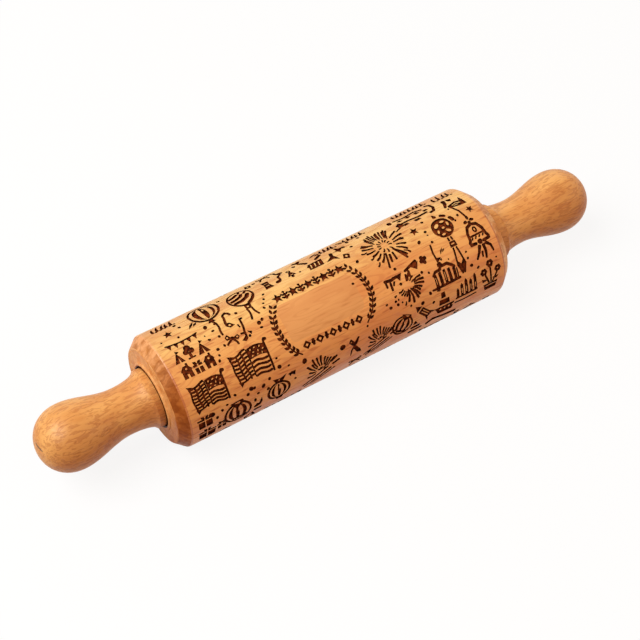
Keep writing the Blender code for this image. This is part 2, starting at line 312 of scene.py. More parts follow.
        # Length and width of the spots, shift of the pattern, its detail and its swirl
        spots = {
            "patches": (patch_length, self.patch_size, 3.1, 3.0, 0.0),
            "waves": (self.line_length, self.line_width, 5.3, 0.6, self.line_swirl),
            "flecks": (self.fleck_length, self.fleck_width, 7.7, 1.0, 0.0),
        }
        if self.check:
            spots["breaks"] = (2.0, 1.1, 1.9, 0.0, 0.0)
        values = {}
        for name, (length, width, shift, detail, swirl) in spots.items():
            grain = {
                "Vector": coordinates,
                "Location": (self.drift + shift, shift, self.drift),
                "Scale": (1 / (MM * length), 1 / (MM * width), 1 / (MM * width)),
            }
            place = add_node(tree, "ShaderNodeMapping", grain).outputs["Vector"]
            drawn = {"Vector": place, "Scale": 1.0, "Detail": detail, "Distortion": swirl}
            values[name] = add_node(tree, "ShaderNodeTexNoise", drawn).outputs["Fac"]

        counted = {0: values["waves"], 1: math.tau * self.line_count}
        steps = add_node(tree, "ShaderNodeMath", counted, operation="MULTIPLY").outputs["Value"]
        values["lines"] = add_node(tree, "ShaderNodeMath", {0: steps}, operation="SINE").outputs[0]
        # Painted shade: how far out each point lies towards the side that the lights leave darker
        facing = {"Vector": coordinates, "Rotation": (-math.radians(self.shade_turn), 0, 0)}
        turned = add_node(tree, "ShaderNodeMapping", facing).outputs["Vector"]
        values["out"] = add_node(tree, "ShaderNodeSeparateXYZ", {"Vector": turned}).outputs["Z"]
        if self.check:
            near = {
                "Vector": coordinates,
                "Location": [-at / span for at, span in zip(self.check, self.check_size)],
                "Scale": [1 / (MM * span) for span in self.check_size],
            }
            place = {"Vector": add_node(tree, "ShaderNodeMapping", near).outputs["Vector"]}
            reach = add_node(tree, "ShaderNodeTexGradient", place, gradient_type="SPHERICAL")
            opened = {0: reach.outputs["Fac"], 1: values["breaks"]}
            split = add_node(tree, "ShaderNodeMath", opened, operation="MULTIPLY")
            values["check"] = split.outputs["Value"]
        return values


@dataclass(frozen=True)
class CharredBeech:
    """Beech burnt by the engraving laser.

    To the eye it is a dead matt brown, nearly black where the beam dwelt and reddish where it
    only passed, with the faint lines of the beam's passes across it. The passes are about 0.1 mm
    apart. They are drawn at 0.4 mm here, so that they show at all.

    Attributes:
        name: What the finish is called.
        black: Colour of the deepest burn.
        brown: Colour of the lightest burn.
        blotch: Size of the uneven patches.
        pass_spacing: Distance between the beam's passes.
        pass_depth: Depth of a pass as a bump.
    """

    name: str
    black: str
    brown: str
    blotch: float = 1.6
    pass_spacing: float = 0.4
    pass_depth: float = 0.06

    def build(self) -> bpy.types.Material:
        """Build the burnt wood's node tree.

        Returns:
            The finished material.
        """
        made = new_material(self.name)
        tree = made.node_tree
        coordinates = add_node(tree, "ShaderNodeTexCoord", {}).outputs["Object"]
        uneven = {"Vector": coordinates, "Scale": 1 / (MM * self.blotch), "Detail": 3.0}
        blotches = add_node(tree, "ShaderNodeTexNoise", uneven).outputs["Fac"]
        rise = {"Value": blotches, "From Min": 0.35, "From Max": 0.68}
        amount = add_node(tree, "ShaderNodeMapRange", rise, interpolation_type="SMOOTHSTEP")
        # At a scale of one, the wave pattern has 20 bands in a length of tau
        beam = {
            "Vector": coordinates,
            "Scale": math.tau / 20 / (MM * self.pass_spacing),
            "Distortion": 0.6,
            "Detail": 1.0,
        }
        passes = add_node(tree, "ShaderNodeTexWave", beam, bands_direction="X").outputs["Fac"]
        colours = {
            "Fac": amount.outputs["Result"], "Color1": linear(self.black), "Color2": linear(self.brown)
        }
        grooves = {"Height": passes, "Strength": 0.5, "Distance": self.pass_depth * MM}
        surface = {
            "Base Color": add_node(tree, "ShaderNodeMixRGB", colours).outputs["Color"],
            "Roughness": 0.88,
            "IOR": 1.45,
            "Specular IOR Level": 0.12,
            "Normal": add_node(tree, "ShaderNodeBump", grooves).outputs["Normal"],
        }
        set_surface(made, add_node(tree, "ShaderNodeBsdfPrincipled", surface))
        return made


@dataclass(frozen=True)
class Fitting:
    """A turned or moulded fitting inside the pin.

    To the eye steel is a plain grey with fine rings from the lathe, and nylon and acetal are
    milky, with a soft sheen and a faint mould texture.

    Attributes:
        name: What the finish is called.
        colour: Main colour.
        shade: Colour of its faint unevenness.
        metal: Whether it is metal.
        roughness: Roughness of the surface.
        grit: Size of the surface texture along the axle.
        grit_width: Its size across the axle.
        grit_depth: Its depth as a bump.
    """

    name: str
    colour: str
    shade: str
    metal: bool
    roughness: float
    grit: float
    grit_width: float = 6.0
    grit_depth: float = 0.02

    def build(self) -> bpy.types.Material:
        """Build the fitting's node tree.

        Returns:
            The finished material.
        """
        made = new_material(self.name)
        tree = made.node_tree
        coordinates = add_node(tree, "ShaderNodeTexCoord", {}).outputs["Object"]
        sizes = (self.grit, self.grit_width, self.grit_width)
        turned = {"Vector": coordinates, "Scale": [1 / (MM * size) for size in sizes]}
        place = add_node(tree, "ShaderNodeMapping", turned).outputs["Vector"]
        rings = {"Vector": place, "Scale": 1.0, "Detail": 3.0}
        texture = add_node(tree, "ShaderNodeTexNoise", rings).outputs["Fac"]
        colours = {"Fac": texture, "Color1": linear(self.colour), "Color2": linear(self.shade)}
        sheen = {"Value": texture, "To Min": self.roughness - 0.08, "To Max": self.roughness + 0.12}
        grooves = {"Height": texture, "Strength": 0.3, "Distance": self.grit_depth * MM}
        surface = {
            "Base Color": add_node(tree, "ShaderNodeMixRGB", colours).outputs["Color"],
            "Roughness": add_node(tree, "ShaderNodeMapRange", sheen).outputs["Result"],
            "Normal": add_node(tree, "ShaderNodeBump", grooves).outputs["Normal"],
        }
        if self.metal:
            surface["Metallic"] = 1.0
        else:
            surface["IOR"] = 1.53
            surface["Subsurface Weight"] = 0.15
            surface["Subsurface Scale"] = 1.0 * MM
        set_surface(made, add_node(tree, "ShaderNodeBsdfPrincipled", surface))
        return made


def arc(
    radius: float, start: float, stop: float, steps: int = 8, tall: float = 1.0, at: Point = (0, 0)
) -> list[Point]:
    """Points along an arc.

    Args:
        radius: Radius across.
        start: Angle of the first point in degrees, anticlockwise from the right.
        stop: Angle of the last point.
        steps: How many parts the arc has.
        tall: Height of the circle for a width of one.
        at: The arc's centre.

    Returns:
        The points in order.
    """
    turns = [math.radians(start + (stop - start) * step / steps) for step in range(steps + 1)]
    return [(at[0] + radius * math.cos(turn), at[1] + radius * tall * math.sin(turn)) for turn in turns]


def beside(start: Point, stop: Point, steps: int, rise: Callable[[float], float]) -> list[Point]:
    """Points beside a straight line.

    Args:
        start: First point.
        stop: Last point.
        steps: How many parts the way has.
        rise: How far a point stands off to the left, for its share of the way.

    Returns:
        The points in order.
    """
    line = Vector(stop) - Vector(start)
    aside = Vector((-line.y, line.x)).normalized()
    points = []
    for step in range(steps + 1):
        share = step / steps
        point = Vector(start) + line * share + aside * rise(share)
        points.append((point.x, point.y))
    return points


def bowed(start: Point, stop: Point, rise: float, steps: int = 5) -> list[Point]:
    """Points along a shallow curve.

    Args:
        start: First point.
        stop: Last point.
        rise: How far the middle stands off to the left of the straight line.
        steps: How many parts the curve has.

    Returns:
        The points in order.
    """
    return beside(start, stop, steps, lambda share: 4 * share * (1 - share) * rise)


def wavy(start: Point, stop: Point, height: float, waves: float, steps: int = 12) -> list[Point]:
    """Points along a wavy line.

    Args:
        start: First point.
        stop: Last point.
        height: How far a crest stands off the straight line.
        waves: How many whole waves there are.
        steps: How many parts the line has.

    Returns:
        The points in order.
    """
    return beside(start, stop, steps, lambda share: height * math.sin(math.tau * waves * share))


def placed(at: Point, turn: float, wide: float = 1.0, tall: float = 1.0) -> Matrix:
    """Make the matrix that stretches a figure, turns it and puts it in its place.

    Args:
        at: Where its middle goes.
        turn: Turn in degrees, anticlockwise.
        wide: How many times as wide it gets, less than none to change left and right round.
        tall: How many times as tall.

    Returns:
        The matrix.
    """
    turned = Matrix.Translation((*at, 0)) @ Matrix.Rotation(math.radians(turn), 4, "Z")
    return turned @ Matrix.Diagonal((wide, tall, 1, 1))


def spin_round(form: BMesh, geom: list, axis: Vector, turn: float, steps: int) -> None:
    """Spin an outline round an axis through the origin.

    Args:
        form: The form that it is part of.
        geom: The outline's vertices and edges.
        axis: The axis.
        turn: How far it is spun.
        steps: How many facets that gives.
    """
    bmesh.ops.spin(
        form,
        geom=geom,
        cent=Vector((0, 0, 0)),
        axis=axis,
        dvec=Vector((0, 0, 0)),
        angle=turn,
        steps=steps,
        use_merge=True,
    )


class Drawing:
    """A flat drawing whose faces say where the laser cuts and where it leaves the wood.

    Attributes:
        weight: How many times as wide as its figure says a burnt line is drawn.
        tip_length: Length of a line's round tip for a width of one.
        tip_width: Width at the very end of that tip.
        sharpest: How far a line's sides may spread at a corner, from fully at 0 to not at 1.
        form: The faces that are drawn.
        settled: Which vertices have been put in their place.
    """

    weight: float = 1.22
    tip_length: float = 0.3
    tip_width: float = 0.55
    sharpest: float = 0.7

    def __init__(self) -> None:
        """Start an empty drawing."""
        self.form: BMesh = bmesh.new()
        self.settled = self.form.verts.layers.int.new("settled")

    def fresh(self) -> list[BMVert]:
        """Vertices drawn since the last stamp was put in its place."""
        return [vert for vert in self.form.verts if not vert[self.settled]]

    def give(self, verts: Iterable[BMVert], mark: Mark) -> None:
        """Give a mark to every face of these vertices."""
        for vert in verts:
            for face in vert.link_faces:
                face.material_index = mark.value

    def disc(
        self,
        at: Point,
        radius: float,
        mark: Mark = Mark.BURNT,
        tall: float = 1.0,
        turn: float = 0.0,
        sides: int = 12,
        waist: float = 1.0,
    ) -> None:
        """Draw a filled circle, oval or star.

        Args:
            at: The middle.
            radius: Radius across.
            mark: What it does to the wood.
            tall: Height for a width of one.
            turn: Turn in degrees, anticlockwise.
            sides: How many corners it has.
            waist: Where every second corner lies, from the middle at 0 to the rim at 1.
        """
        made = bmesh.ops.create_circle(self.form, cap_ends=True, segments=sides, radius=radius)
        if waist != 1.0:
            scale = Vector((waist, waist, 1))
            bmesh.ops.scale(self.form, vec=scale, verts=made["verts"][1::2])
        place = placed(at, turn, tall=tall)
        bmesh.ops.transform(self.form, matrix=place, verts=made["verts"])
        self.give(made["verts"], mark)

    def star(self, at: Point, radius: float) -> None:
        """Draw a filled star with five points."""
        self.disc(at, radius, sides=10, waist=0.45)

    def ring(self, at: Point, radius: float, width: float, tall: float = 1.0, sides: int = 28) -> None:
        """Draw a round or oval line by spinning one short edge.

        Args:
            at: The middle.
            radius: Radius of the line's middle.
            width: Width of the line.
            tall: Height for a width of one.
            sides: How many parts it has.
        """
        half = width * self.weight / 2
        inner = self.form.verts.new((radius - half, 0, 0))
        outer = self.form.verts.new((radius + half, 0, 0))
        edge = self.form.edges.new((inner, outer))
        before = set(self.form.verts) - {inner, outer}
        spin_round(self.form, [inner, outer, edge], Vector((0, 0, 1)), math.tau, sides)
        made = [vert for vert in self.form.verts if vert not in before]
        bmesh.ops.transform(self.form, matrix=placed(at, 0, tall=tall), verts=made)
        self.give(made, Mark.BURNT)

    def patch(self, corners: Path, mark: Mark = Mark.BURNT) -> None:
        """Draw a filled shape from its corners, in order round it."""
        made = [self.form.verts.new((x, y, 0)) for x, y in corners]
        self.form.faces.new(made).material_index = mark.value

    def stroke(
        self,
        path: Path,
        width: float = LINE,
        end_width: float = 0.0,
        mark: Mark = Mark.BURNT,
        closed: bool = False,
    ) -> None:
        """Draw a pen line: one short edge, extruded from point to point of a path.

        Args:
            path: The points that the pen passes.
            width: Width of the line where it starts.
            end_width: Width where it ends, if it isn't the same.
            mark: What it does to the wood.
            closed: Whether the line runs back to its first point.
        """
        points = [Vector((x, y, 0)) for x, y in path]
        last_width = end_width or width
        weight = self.weight if mark is Mark.BURNT else 1.0
        widths = [
            weight * (width + (last_width - width) * place / (len(points) - 1))
            for place in range(len(points))
        ]
        if closed:
            points.append(points[0])
            widths.append(widths[0])
        else:
            points, widths = self.with_round_ends(points, widths)
        pairs = []
        for place, point in enumerate(points):
            before = points[place - 1] if place else (points[-2] if closed else None)
            after = points[place + 1] if place + 1 < len(points) else (points[1] if closed else None)
            pairs.append(self.across(before, point, after, widths[place]))
        low = self.form.verts.new(pairs[0][0])
        high = self.form.verts.new(pairs[0][1])
        edge = self.form.edges.new((low, high))
        drawn = [low, high]
        for low_place, high_place in pairs[1:]:
            grown = bmesh.ops.extrude_edge_only(self.form, edges=[edge])["geom"]
            edge = next(item for item in grown if isinstance(item, BMEdge))
            ends = sorted(edge.verts, key=lambda vert: (vert.co - low.co).length)
            low, high = ends
            low.co = low_place
            high.co = high_place
            drawn += ends
        self.give(drawn, mark)

    def with_round_ends(
        self, points: list[Vector], widths: list[float]
    ) -> tuple[list[Vector], list[float]]:
        """Add a narrower point at each end of a line, so that the pen's tip looks round.

        Args:
            points: The line's points.
            widths: Its width at each of them.

        Returns:
            The points and widths with the two ends added.
        """
        first = (points[1] - points[0]).normalized() * widths[0] * self.tip_length
        last = (points[-2] - points[-1]).normalized() * widths[-1] * self.tip_length
        inner = points[1:-1]
        all_points = [points[0], points[0] + first, *inner, points[-1] + last, points[-1]]
        tips = [widths[0] * self.tip_width, widths[-1] * self.tip_width]
        return all_points, [tips[0], widths[0], *widths[1:-1], widths[-1], tips[1]]

    def across(
        self, before: Vector | None, point: Vector, after: Vector | None, width: float
    ) -> tuple[Vector, Vector]:
        """Find the two sides of a line at one of its points.

        Args:
            before: The point before it, if there is one.
            point: The point.
            after: The point after it, if there is one.
            width: Width of the line there.

        Returns:
            The place on the right and the place on the left.
        """
        ways = []
        if before is not None:
            ways.append((point - before).normalized())
        if after is not None:
            ways.append((after - point).normalized())
        way = sum(ways, Vector((0, 0, 0))).normalized()
        aside = Vector((-way.y, way.x, 0))
        square = Vector((-ways[0].y, ways[0].x, 0)).dot(aside)
        half = aside * (width / 2 / max(self.sharpest, square))
        return point - half, point + half

    def stamp(
        self, motif: "Motif", at: Point, turn: float = 0.0, scale: float = 1.0, flip: bool = False
    ) -> None:
        """Draw a motif and put it in its place.

        Args:
            motif: What to draw.
            at: Where its middle goes.
            turn: Turn in degrees, anticlockwise.
            scale: How large it is drawn.
            flip: Whether left and right change places.
        """
        motif.draw(self)
        made = self.fresh()
        place = placed(at, turn, -scale if flip else scale, scale)
        bmesh.ops.transform(self.form, matrix=place, verts=made)
        for vert in made:
            vert[self.settled] = 1

    def repeat_mirrored(self, fall: float) -> None:
        """Copy the whole drawing once, left and right changed round.

        Args:
            fall: How far down the sheet the copy goes.
        """
        everything = [*self.form.verts, *self.form.edges, *self.form.faces]
        copied = bmesh.ops.duplicate(self.form, geom=everything)["geom"]
        verts = [item for item in copied if isinstance(item, BMVert)]
        bmesh.ops.transform(self.form, matrix=placed((0, -fall), 0, -1), verts=verts)

    def unsteady(self, amount: float, length: float) -> None:
        """Make every line waver a little, as a hand's does.

        Args:
            amount: How far a point may move.
            length: How far apart the wavers are.
        """
        noise.seed_set(WAVER_SEED)
        for vert in self.form.verts:
            vert.co += noise.noise_vector(vert.co / length) * Vector((amount, amount, 0))


class Motif:
    """A figure that can be stamped on the sheet."""

    def draw(self, pen: Drawing) -> None:
        """Draw the figure round the origin."""
        raise NotImplementedError


@dataclass(frozen=True)
class Line(Motif):
    """Pen line from point to point."""

    path: Path
    width: float = LINE
    end_width: float = 0.0
    mark: Mark = Mark.BURNT
    closed: bool = False

    def draw(self, pen: Drawing) -> None:
        """Draw the line."""
        pen.stroke(self.path, self.width, self.end_width, self.mark, self.closed)


@dataclass(frozen=True)
class Shape(Motif):
    """Filled shape between its corners."""

    corners: Path
    mark: Mark = Mark.BURNT

    def draw(self, pen: Drawing) -> None:
        """Draw the shape."""
        pen.patch(self.corners, self.mark)


@dataclass(frozen=True)
class Spot(Motif):
    """Filled spot: round, oval or square."""

    x: float = 0.0
    y: float = 0.0
    radius: float = 0.75
    tall: float = 1.0
    turn: float = 0.0
    sides: int = 8
    mark: Mark = Mark.BURNT

    def draw(self, pen: Drawing) -> None:
        """Draw the spot."""
        pen.disc((self.x, self.y), self.radius, self.mark, self.tall, self.turn, self.sides)


@dataclass(frozen=True)
class Loop(Motif):
    """Round pen line."""

    x: float
    y: float
    radius: float
    width: float = LINE

    def draw(self, pen: Drawing) -> None:
        """Draw the loop."""
        pen.ring((self.x, self.y), self.radius, self.width)


class Group(Motif):
    """Figure made of several parts."""

    def __init__(self, *parts: Motif) -> None:
        """Keep the parts in the order that they are drawn in."""
        self.parts = parts

    def draw(self, pen: Drawing) -> None:
        """Draw every part."""
        for part in self.parts:
            part.draw(pen)


@dataclass(frozen=True)
class Star(Motif):
    """Filled star with five points."""

    radius: float = 2.4

    def draw(self, pen: Drawing) -> None:
        """Draw the star."""
        pen.star((0, 0), self.radius)


@dataclass(frozen=True)
class Flower(Motif):
    """Flower of round petals."""

    radius: float = 1.6
    petals: int = 5

    def draw(self, pen: Drawing) -> None:
        """Draw the flower."""
        for place in arc(self.radius * 0.58, 90, 450, self.petals)[1:]:
            pen.disc(place, self.radius * 0.5, sides=7)
        pen.disc((0, 0), self.radius * 0.4, sides=6)


@dataclass(frozen=True)
class Gored(Motif):
    """Round balloon or lantern whose gores are dark and pale in turn."""

    radius: float
    tall: float = 1.0
    gores: tuple[Point, ...] = ((-0.8, -0.42), (-0.1, 0.3), (0.62, 0.86))

    def draw(self, pen: Drawing) -> None:
        """Draw the balloon."""
        pen.ring((0, 0), self.radius - 0.5, 1.0, tall=self.tall, sides=32)
        seam = arc(self.radius - 1.3, -76, 76, 7, self.tall)
        for left, right in self.gores:
            near_side = [(x * left, y) for x, y in seam]
            pen.patch(near_side + [(x * right, y) for x, y in reversed(seam)])
        pen.disc((self.radius * 0.1, self.radius * 0.3), 0.42, Mark.LEFT, tall=3.0, sides=8)


@dataclass(frozen=True)
class Fan(Motif):
    """Fan of short strokes that spread from a point and thicken outwards.

    Attributes:
        start: Direction of the first stroke in degrees.
        stop: Direction of the last one.
        count: How many there are.
        near: Where they start, from the point.
        reach: Where the longest one ends.
        width: Width of a stroke at its outer end.
        upright: How far they turn upright, from spread at 0 to parallel at 1.
        taper: Width of a stroke at its inner end, for a width of one at its outer end.
        bend: How far its middle stands off to the left.
        stray: How far its direction may stray, in degrees.
    """

    start: float
    stop: float
    count: int
    near: float
    reach: float
    width: float = 1.1
    upright: float = 0.0
    taper: float = 0.6
    bend: float = 0.3
    stray: float = 2.5

    def draw(self, pen: Drawing) -> None:
        """Draw the fan."""
        chance = random.Random(round(self.start + self.reach * 7))
        for number in range(self.count):
            turn = self.start + (self.stop - self.start) * number / max(1, self.count - 1)
            angle = math.radians(turn + chance.uniform(-self.stray, self.stray))
            way = Vector((math.cos(angle), math.sin(angle)))
            foot = way * self.near * chance.uniform(0.85, 1.2)
            way = way.lerp(Vector((0, 1)), self.upright).normalized()
            tip = foot + way * (self.reach * chance.uniform(0.82, 1.0) - self.near)
            line = bowed(tuple(foot), tuple(tip), self.bend, 2)
            pen.stroke(line, self.width * self.taper, self.width)


@dataclass(frozen=True)
class Bow(Motif):
    """Ribbon bow with two loops and two tails."""

    width: float = 6.0

    def draw(self, pen: Drawing) -> None:
        """Draw the bow."""
        half = self.width / 2
        for way in (-1, 1):
            tip = (way * half, 0.5)
            pen.patch([(0, 0.1), (way * half * 0.7, 1.8), tip, (way * half * 0.75, -1.0)])
            pen.disc((way * half * 0.66, 0.4), 0.45, Mark.LEFT, sides=6)
            pen.stroke(bowed((0.3 * way, -0.4), (way * half * 0.75, -3.2), 0.3 * way, 3), LINE)
        pen.disc((0, 0), 0.95, sides=8)


@dataclass(frozen=True)
class Bunting(Motif):
    """Cord of small triangular flags."""

    width: float = 16.0
    flags: int = 5
    drop: float = 2.8

    def draw(self, pen: Drawing) -> None:
        """Draw the bunting."""
        line = bowed((-self.width / 2, 0.6), (self.width / 2, 0.6), -1.0, self.flags)
        pen.stroke(line, FINE)
        for (left, left_y), (right, right_y) in zip(line, line[1:]):
            inset = (right - left) * 0.12
            middle = ((left + right) / 2, (left_y + right_y) / 2 - self.drop)
            pen.patch([(left + inset, left_y), middle, (right - inset, right_y)])


@dataclass(frozen=True)
class Tent(Motif):
    """Solid ridge tent with a pale door and a pennant on its ridge."""

    width: float = 5.0
    height: float = 5.6

    def draw(self, pen: Drawing) -> None:
        """Draw the tent."""
        half, top = self.width / 2, self.height / 2
        pen.patch([(-half, -top), (-0.4, top * 0.55), (0.3, top * 0.55), (half, -top)])
        pen.patch([(0.1, -0.3), (-0.35, -top - 0.4), (0.7, -top - 0.4)], Mark.LEFT)
        pen.patch([(-0.2, top * 0.5), (0, top + 0.6), (1.7, top * 0.85), (0.3, top * 0.6)])


@dataclass(frozen=True)
class Cottage(Motif):
    """Small solid house with a pitched roof, a chimney, a pale door and a round window."""

    width: float = 5.4

    def draw(self, pen: Drawing) -> None:
        """Draw the cottage."""
        half = self.width / 2
        pen.patch([(-half - 0.6, 0.5), (-half * 0.4, 2.9), (half * 0.5, 2.9), (half + 0.6, 0.5)])
        pen.patch([(half * 0.2, 2.6), (half * 0.2, 3.8), (half * 0.7, 3.8), (half * 0.7, 2.2)])
        pen.patch([(-half, 0.8), (half, 0.8), (half, -2.9), (-half, -2.9)])
        pen.patch([(-0.5, -3.2), (-0.5, -1.0), (0.5, -1.0), (0.5, -3.2)], Mark.LEFT)
        pen.disc((0, 1.4), 0.5, Mark.LEFT, sides=8)


@dataclass(frozen=True)
class Tuft(Motif):
    """Tuft of tall grass blades."""

    width: float = 9.0
    height: float = 6.5
    blades: int = 5

    def draw(self, pen: Drawing) -> None:
        """Draw the tuft."""
        for number in range(self.blades):
            foot = (number / (self.blades - 1) - 0.5) * self.width
            lean = 0.8 + 0.5 * (number % 3)
            top = self.height * (0.82 + 0.18 * ((number * 2) % 3) / 2)
            pen.stroke(bowed((foot, 0), (foot + lean, top), 0.5, 4), 1.3, 0.5)
            pen.disc((foot + 1.4, 0.2), 0.7, sides=7)


@dataclass(frozen=True)
class Gift(Motif):
    """Wrapped box with a ribbon and a bow."""

    width: float = 4.6
    height: float = 4.4

    def draw(self, pen: Drawing) -> None:
        """Draw the gift."""
        half, top = self.width / 2, self.height / 2
        lid = top - 1.0
        pen.patch([(-half, -top), (half, -top), (half, lid - 0.5), (-half, lid - 0.5)])
        pen.patch([(-half - 0.3, lid), (half + 0.3, lid), (half + 0.3, top), (-half - 0.3, top)])
        pen.stroke([(0, top), (0, -top)], 0.5, mark=Mark.LEFT)
        for way in (-1, 1):
            pen.patch([(0, top), (way * 0.5, top + 1.3), (way * 1.9, top + 1.5), (way * 1.6, top)])


@dataclass(frozen=True)
class Flag(Motif):
    """Waving striped flag on a pole, with a dark corner that has small pale marks."""

    width: float = 16.5
    height: float = 12.0

    def draw(self, pen: Drawing) -> None:
        """Draw the flag."""
        left, right = -self.width / 2, self.width / 2
        top = self.height / 2
        fold = left + self.width * 0.48
        for number in range(8):
            height = top - 0.6 - number * (self.height - 0.4) / 7.4
            start = (left + 0.3 * (number % 2), height - 0.2)
            pen.stroke(wavy(start, (fold - 0.2, height + 0.7), -0.5, 0.8, 6), 0.86)
        for number in range(4):
            height = top - 6.0 - number * (self.height - 6.6) / 3
            start = (fold + 0.2, height - 0.6)
            pen.stroke(wavy(start, (right - 0.5, height - 0.3), 0.55, 0.9, 6), 0.98)
        for place, sink in ((0.0, 0.6), (0.36, 0.9), (0.68, 0.3)):
            x = left + (fold - left) * place
            pen.stroke(wavy((x - 0.3, top - sink), (x + 0.4, -top - 0.2), 0.3, 1.4, 8), 0.72)
        pen.stroke([(fold - 0.1, top + 0.2), (fold + 0.1, -top)], 0.6)
        pen.patch([(left - 1.0, top + 0.8), (left + 2.0, top - 0.4), (left, top - 2.0)])
        pen.patch([(left - 0.2, -top + 0.8), (left + 2.4, -top - 0.2), (left + 0.8, -top - 2.0)])
        pen.patch(
            [
                *bowed((fold + 0.3, top + 0.3), (right - 0.5, top - 0.2), 0.7, 4),
                *bowed((right - 0.5, top - 5.2), (fold + 0.3, top - 4.9), -0.6, 4),
            ]
        )
        for x, y, turn in (
            (0.2, 0.2, 60), (0.44, 0.16, 10), (0.7, 0.22, 50), (0.3, 0.5, 0),
            (0.58, 0.5, 80), (0.84, 0.5, 20), (0.2, 0.78, 30), (0.48, 0.8, 0), (0.74, 0.8, 70),
        ):
            place = (fold + (right - fold) * x, top - 5.0 * y + 0.2)
            pen.disc(place, 0.52, Mark.LEFT, tall=0.5, turn=turn, sides=6)
        pen.stroke([(right, top + 0.6), (right - 0.1, 0), (right + 0.1, -top - 1.2)], LINE)
        pen.stroke([(right - 0.1, top + 0.3), (right + 0.7, top + 1.2), (right + 1.9, top + 0.9)], 1.2)


@dataclass(frozen=True)
class Sprig(Motif):
    """Laurel sprig: a thin stem with a pair of pointed leaves at every step.

    Attributes:
        stem: The stem's points, from its tip down.
        pairs: How many pairs of leaves there are.
        leaf: Length of a leaf.
        spread: Angle between a leaf and the stem in degrees.
        outline: A leaf's corners, along and across it, for a length of one.
    """

    stem: tuple[Point, ...]
    pairs: int = 12
    leaf: float = 3.1
    spread: float = 32.0
    outline: tuple[Point, ...] = (
        (0.08, 0.0), (0.3, 0.24), (0.62, 0.28), (1.0, 0.04), (0.66, -0.16), (0.3, -0.16)
    )

    def draw(self, pen: Drawing) -> None:
        """Draw the sprig."""
        pen.stroke(self.stem[1:], 0.4, 0.6)
        lengths = [0.0]
        for start, stop in zip(self.stem, self.stem[1:]):
            lengths.append(lengths[-1] + (Vector(stop) - Vector(start)).length)
        for number in range(self.pairs):
            reach = lengths[-1] * (number + 0.2) / self.pairs
            part = max(index for index, length in enumerate(lengths[:-1]) if length <= reach)
            start, stop = Vector(self.stem[part]), Vector(self.stem[part + 1])
            way = (start - stop).normalized()
            foot = start.lerp(stop, (reach - lengths[part]) / (stop - start).length)
            for side in (-1, 1):
                along = way.copy()
                along.rotate(Matrix.Rotation(side * math.radians(self.spread), 2))
                aside = Vector((-along.y, along.x)) * side
                corners = [foot + (along * x + aside * y) * self.leaf for x, y in self.outline]
                pen.patch([tuple(corner) for corner in corners])


@dataclass(frozen=True)
class BorderRow(Motif):
    """Row of stars and upright sprigs in turn, or of lozenges and bars."""

    width: float = 32.0
    count: int = 9
    height: float = 4.8
    lozenges: bool = False

    def draw(self, pen: Drawing) -> None:
        """Draw the row."""
        half = self.height / 2
        for number in range(self.count):
            x = (number / (self.count - 1) - 0.5) * self.width
            if self.lozenges and number % 2:
                pen.stroke([(x, half * 0.8), (x, -half * 0.8)], BOLD)
                pen.stroke([(x - 1.1, 0), (x + 1.1, 0)], LINE)
            elif self.lozenges:
                pen.disc((x, 0), half * 1.05, sides=4)
                pen.disc((x, 0), half * 0.36, Mark.LEFT, sides=4)
            elif number % 2:
                pen.stroke([(x, -half), (x, half * 0.5)], LINE)
                pen.disc((x, half * 0.75), 0.7, sides=7)
                for side in (-1, 1):
                    for rise in (-0.45, 0.2):
                        place = (x + side * 1.1, half * rise)
                        pen.disc(place, 1.15, tall=0.5, turn=side * 40, sides=7)
            else:
                pen.star((x, -0.1), half * 1.1)


@dataclass(frozen=True)
class Panel(Motif):
    """Bare panel, sanded a little flatter than the wood round it."""

    width: float = 39.0
    height: float = 18.6
    corner: float = 3.0

    def draw(self, pen: Drawing) -> None:
        """Draw the panel with rounded corners."""
        half, top = self.width / 2 - self.corner, self.height / 2 - self.corner
        centres = ((half, top), (-half, top), (-half, -top), (half, -top))
        corners = []
        for number, at in enumerate(centres):
            corners += arc(self.corner, 90 * number, 90 * number + 90, 4, at=at)
        pen.patch(corners, Mark.SANDED)


BALLOON = Group(
    Gored(7.6), Shape(((-0.9, -7.3), (0.9, -7.3), (1.8, -9.2), (-1.8, -9.2))),
    Line(wavy((0, -8.8), (1.2, -17.8), 0.6, 0.8, 8)),
)
STRIPED_BALLOON = Group(
    Loop(0, 0, 6.1), Line(((-5.2, 1.8), (-2.5, 2.5), (0.2, 3.9)), 1.5),
    Line(((-5.3, -0.8), (-2.4, -0.4), (0.6, 0.8), (1.8, 2.6)), 1.4),
    Line(((-4.7, -3.0), (-0.6, -2.8), (2.6, -1.4), (4.4, 1.2)), 1.6),
    Line(((0.8, 3.4), (1.6, 5.4)), 1.1), Line(((2.7, 1.9), (4.6, 4.2)), 1.1),
    Shape(((0.6, -5.2), (3.4, -3.6), (5.4, -1.0), (5.2, -3.4), (3.0, -5.6))),
    Shape(((-1.7, -6.4), (1.7, -6.4), (1.2, -9.0), (-1.6, -9.0))),
    Spot(-0.2, -7.6, 0.5, mark=Mark.LEFT), Line(bowed((-1.4, -8.6), (-2.2, -15.0), 0.5)),
    Line(bowed((1.0, -8.6), (2.4, -13.8), -0.4)),
)
HOT_AIR_BALLOON = Group(
    Gored(7.0, 0.94, ((-0.85, -0.5), (-0.2, 0.16), (0.46, 0.8))),
    Shape(((-2.8, -5.0), (3.6, -4.8), (4.6, -3.0), (1.0, -3.4), (-3.2, -3.2))),
    Shape(((-3.2, 7.0), (2.9, 7.4), (3.8, 5.4), (2.0, 4.6), (-0.4, 2.8), (-2.4, 5.4))),
    Shape(((-1.2, 6.3), (1.8, 6.5), (1.1, 5.5)), Mark.LEFT),
)
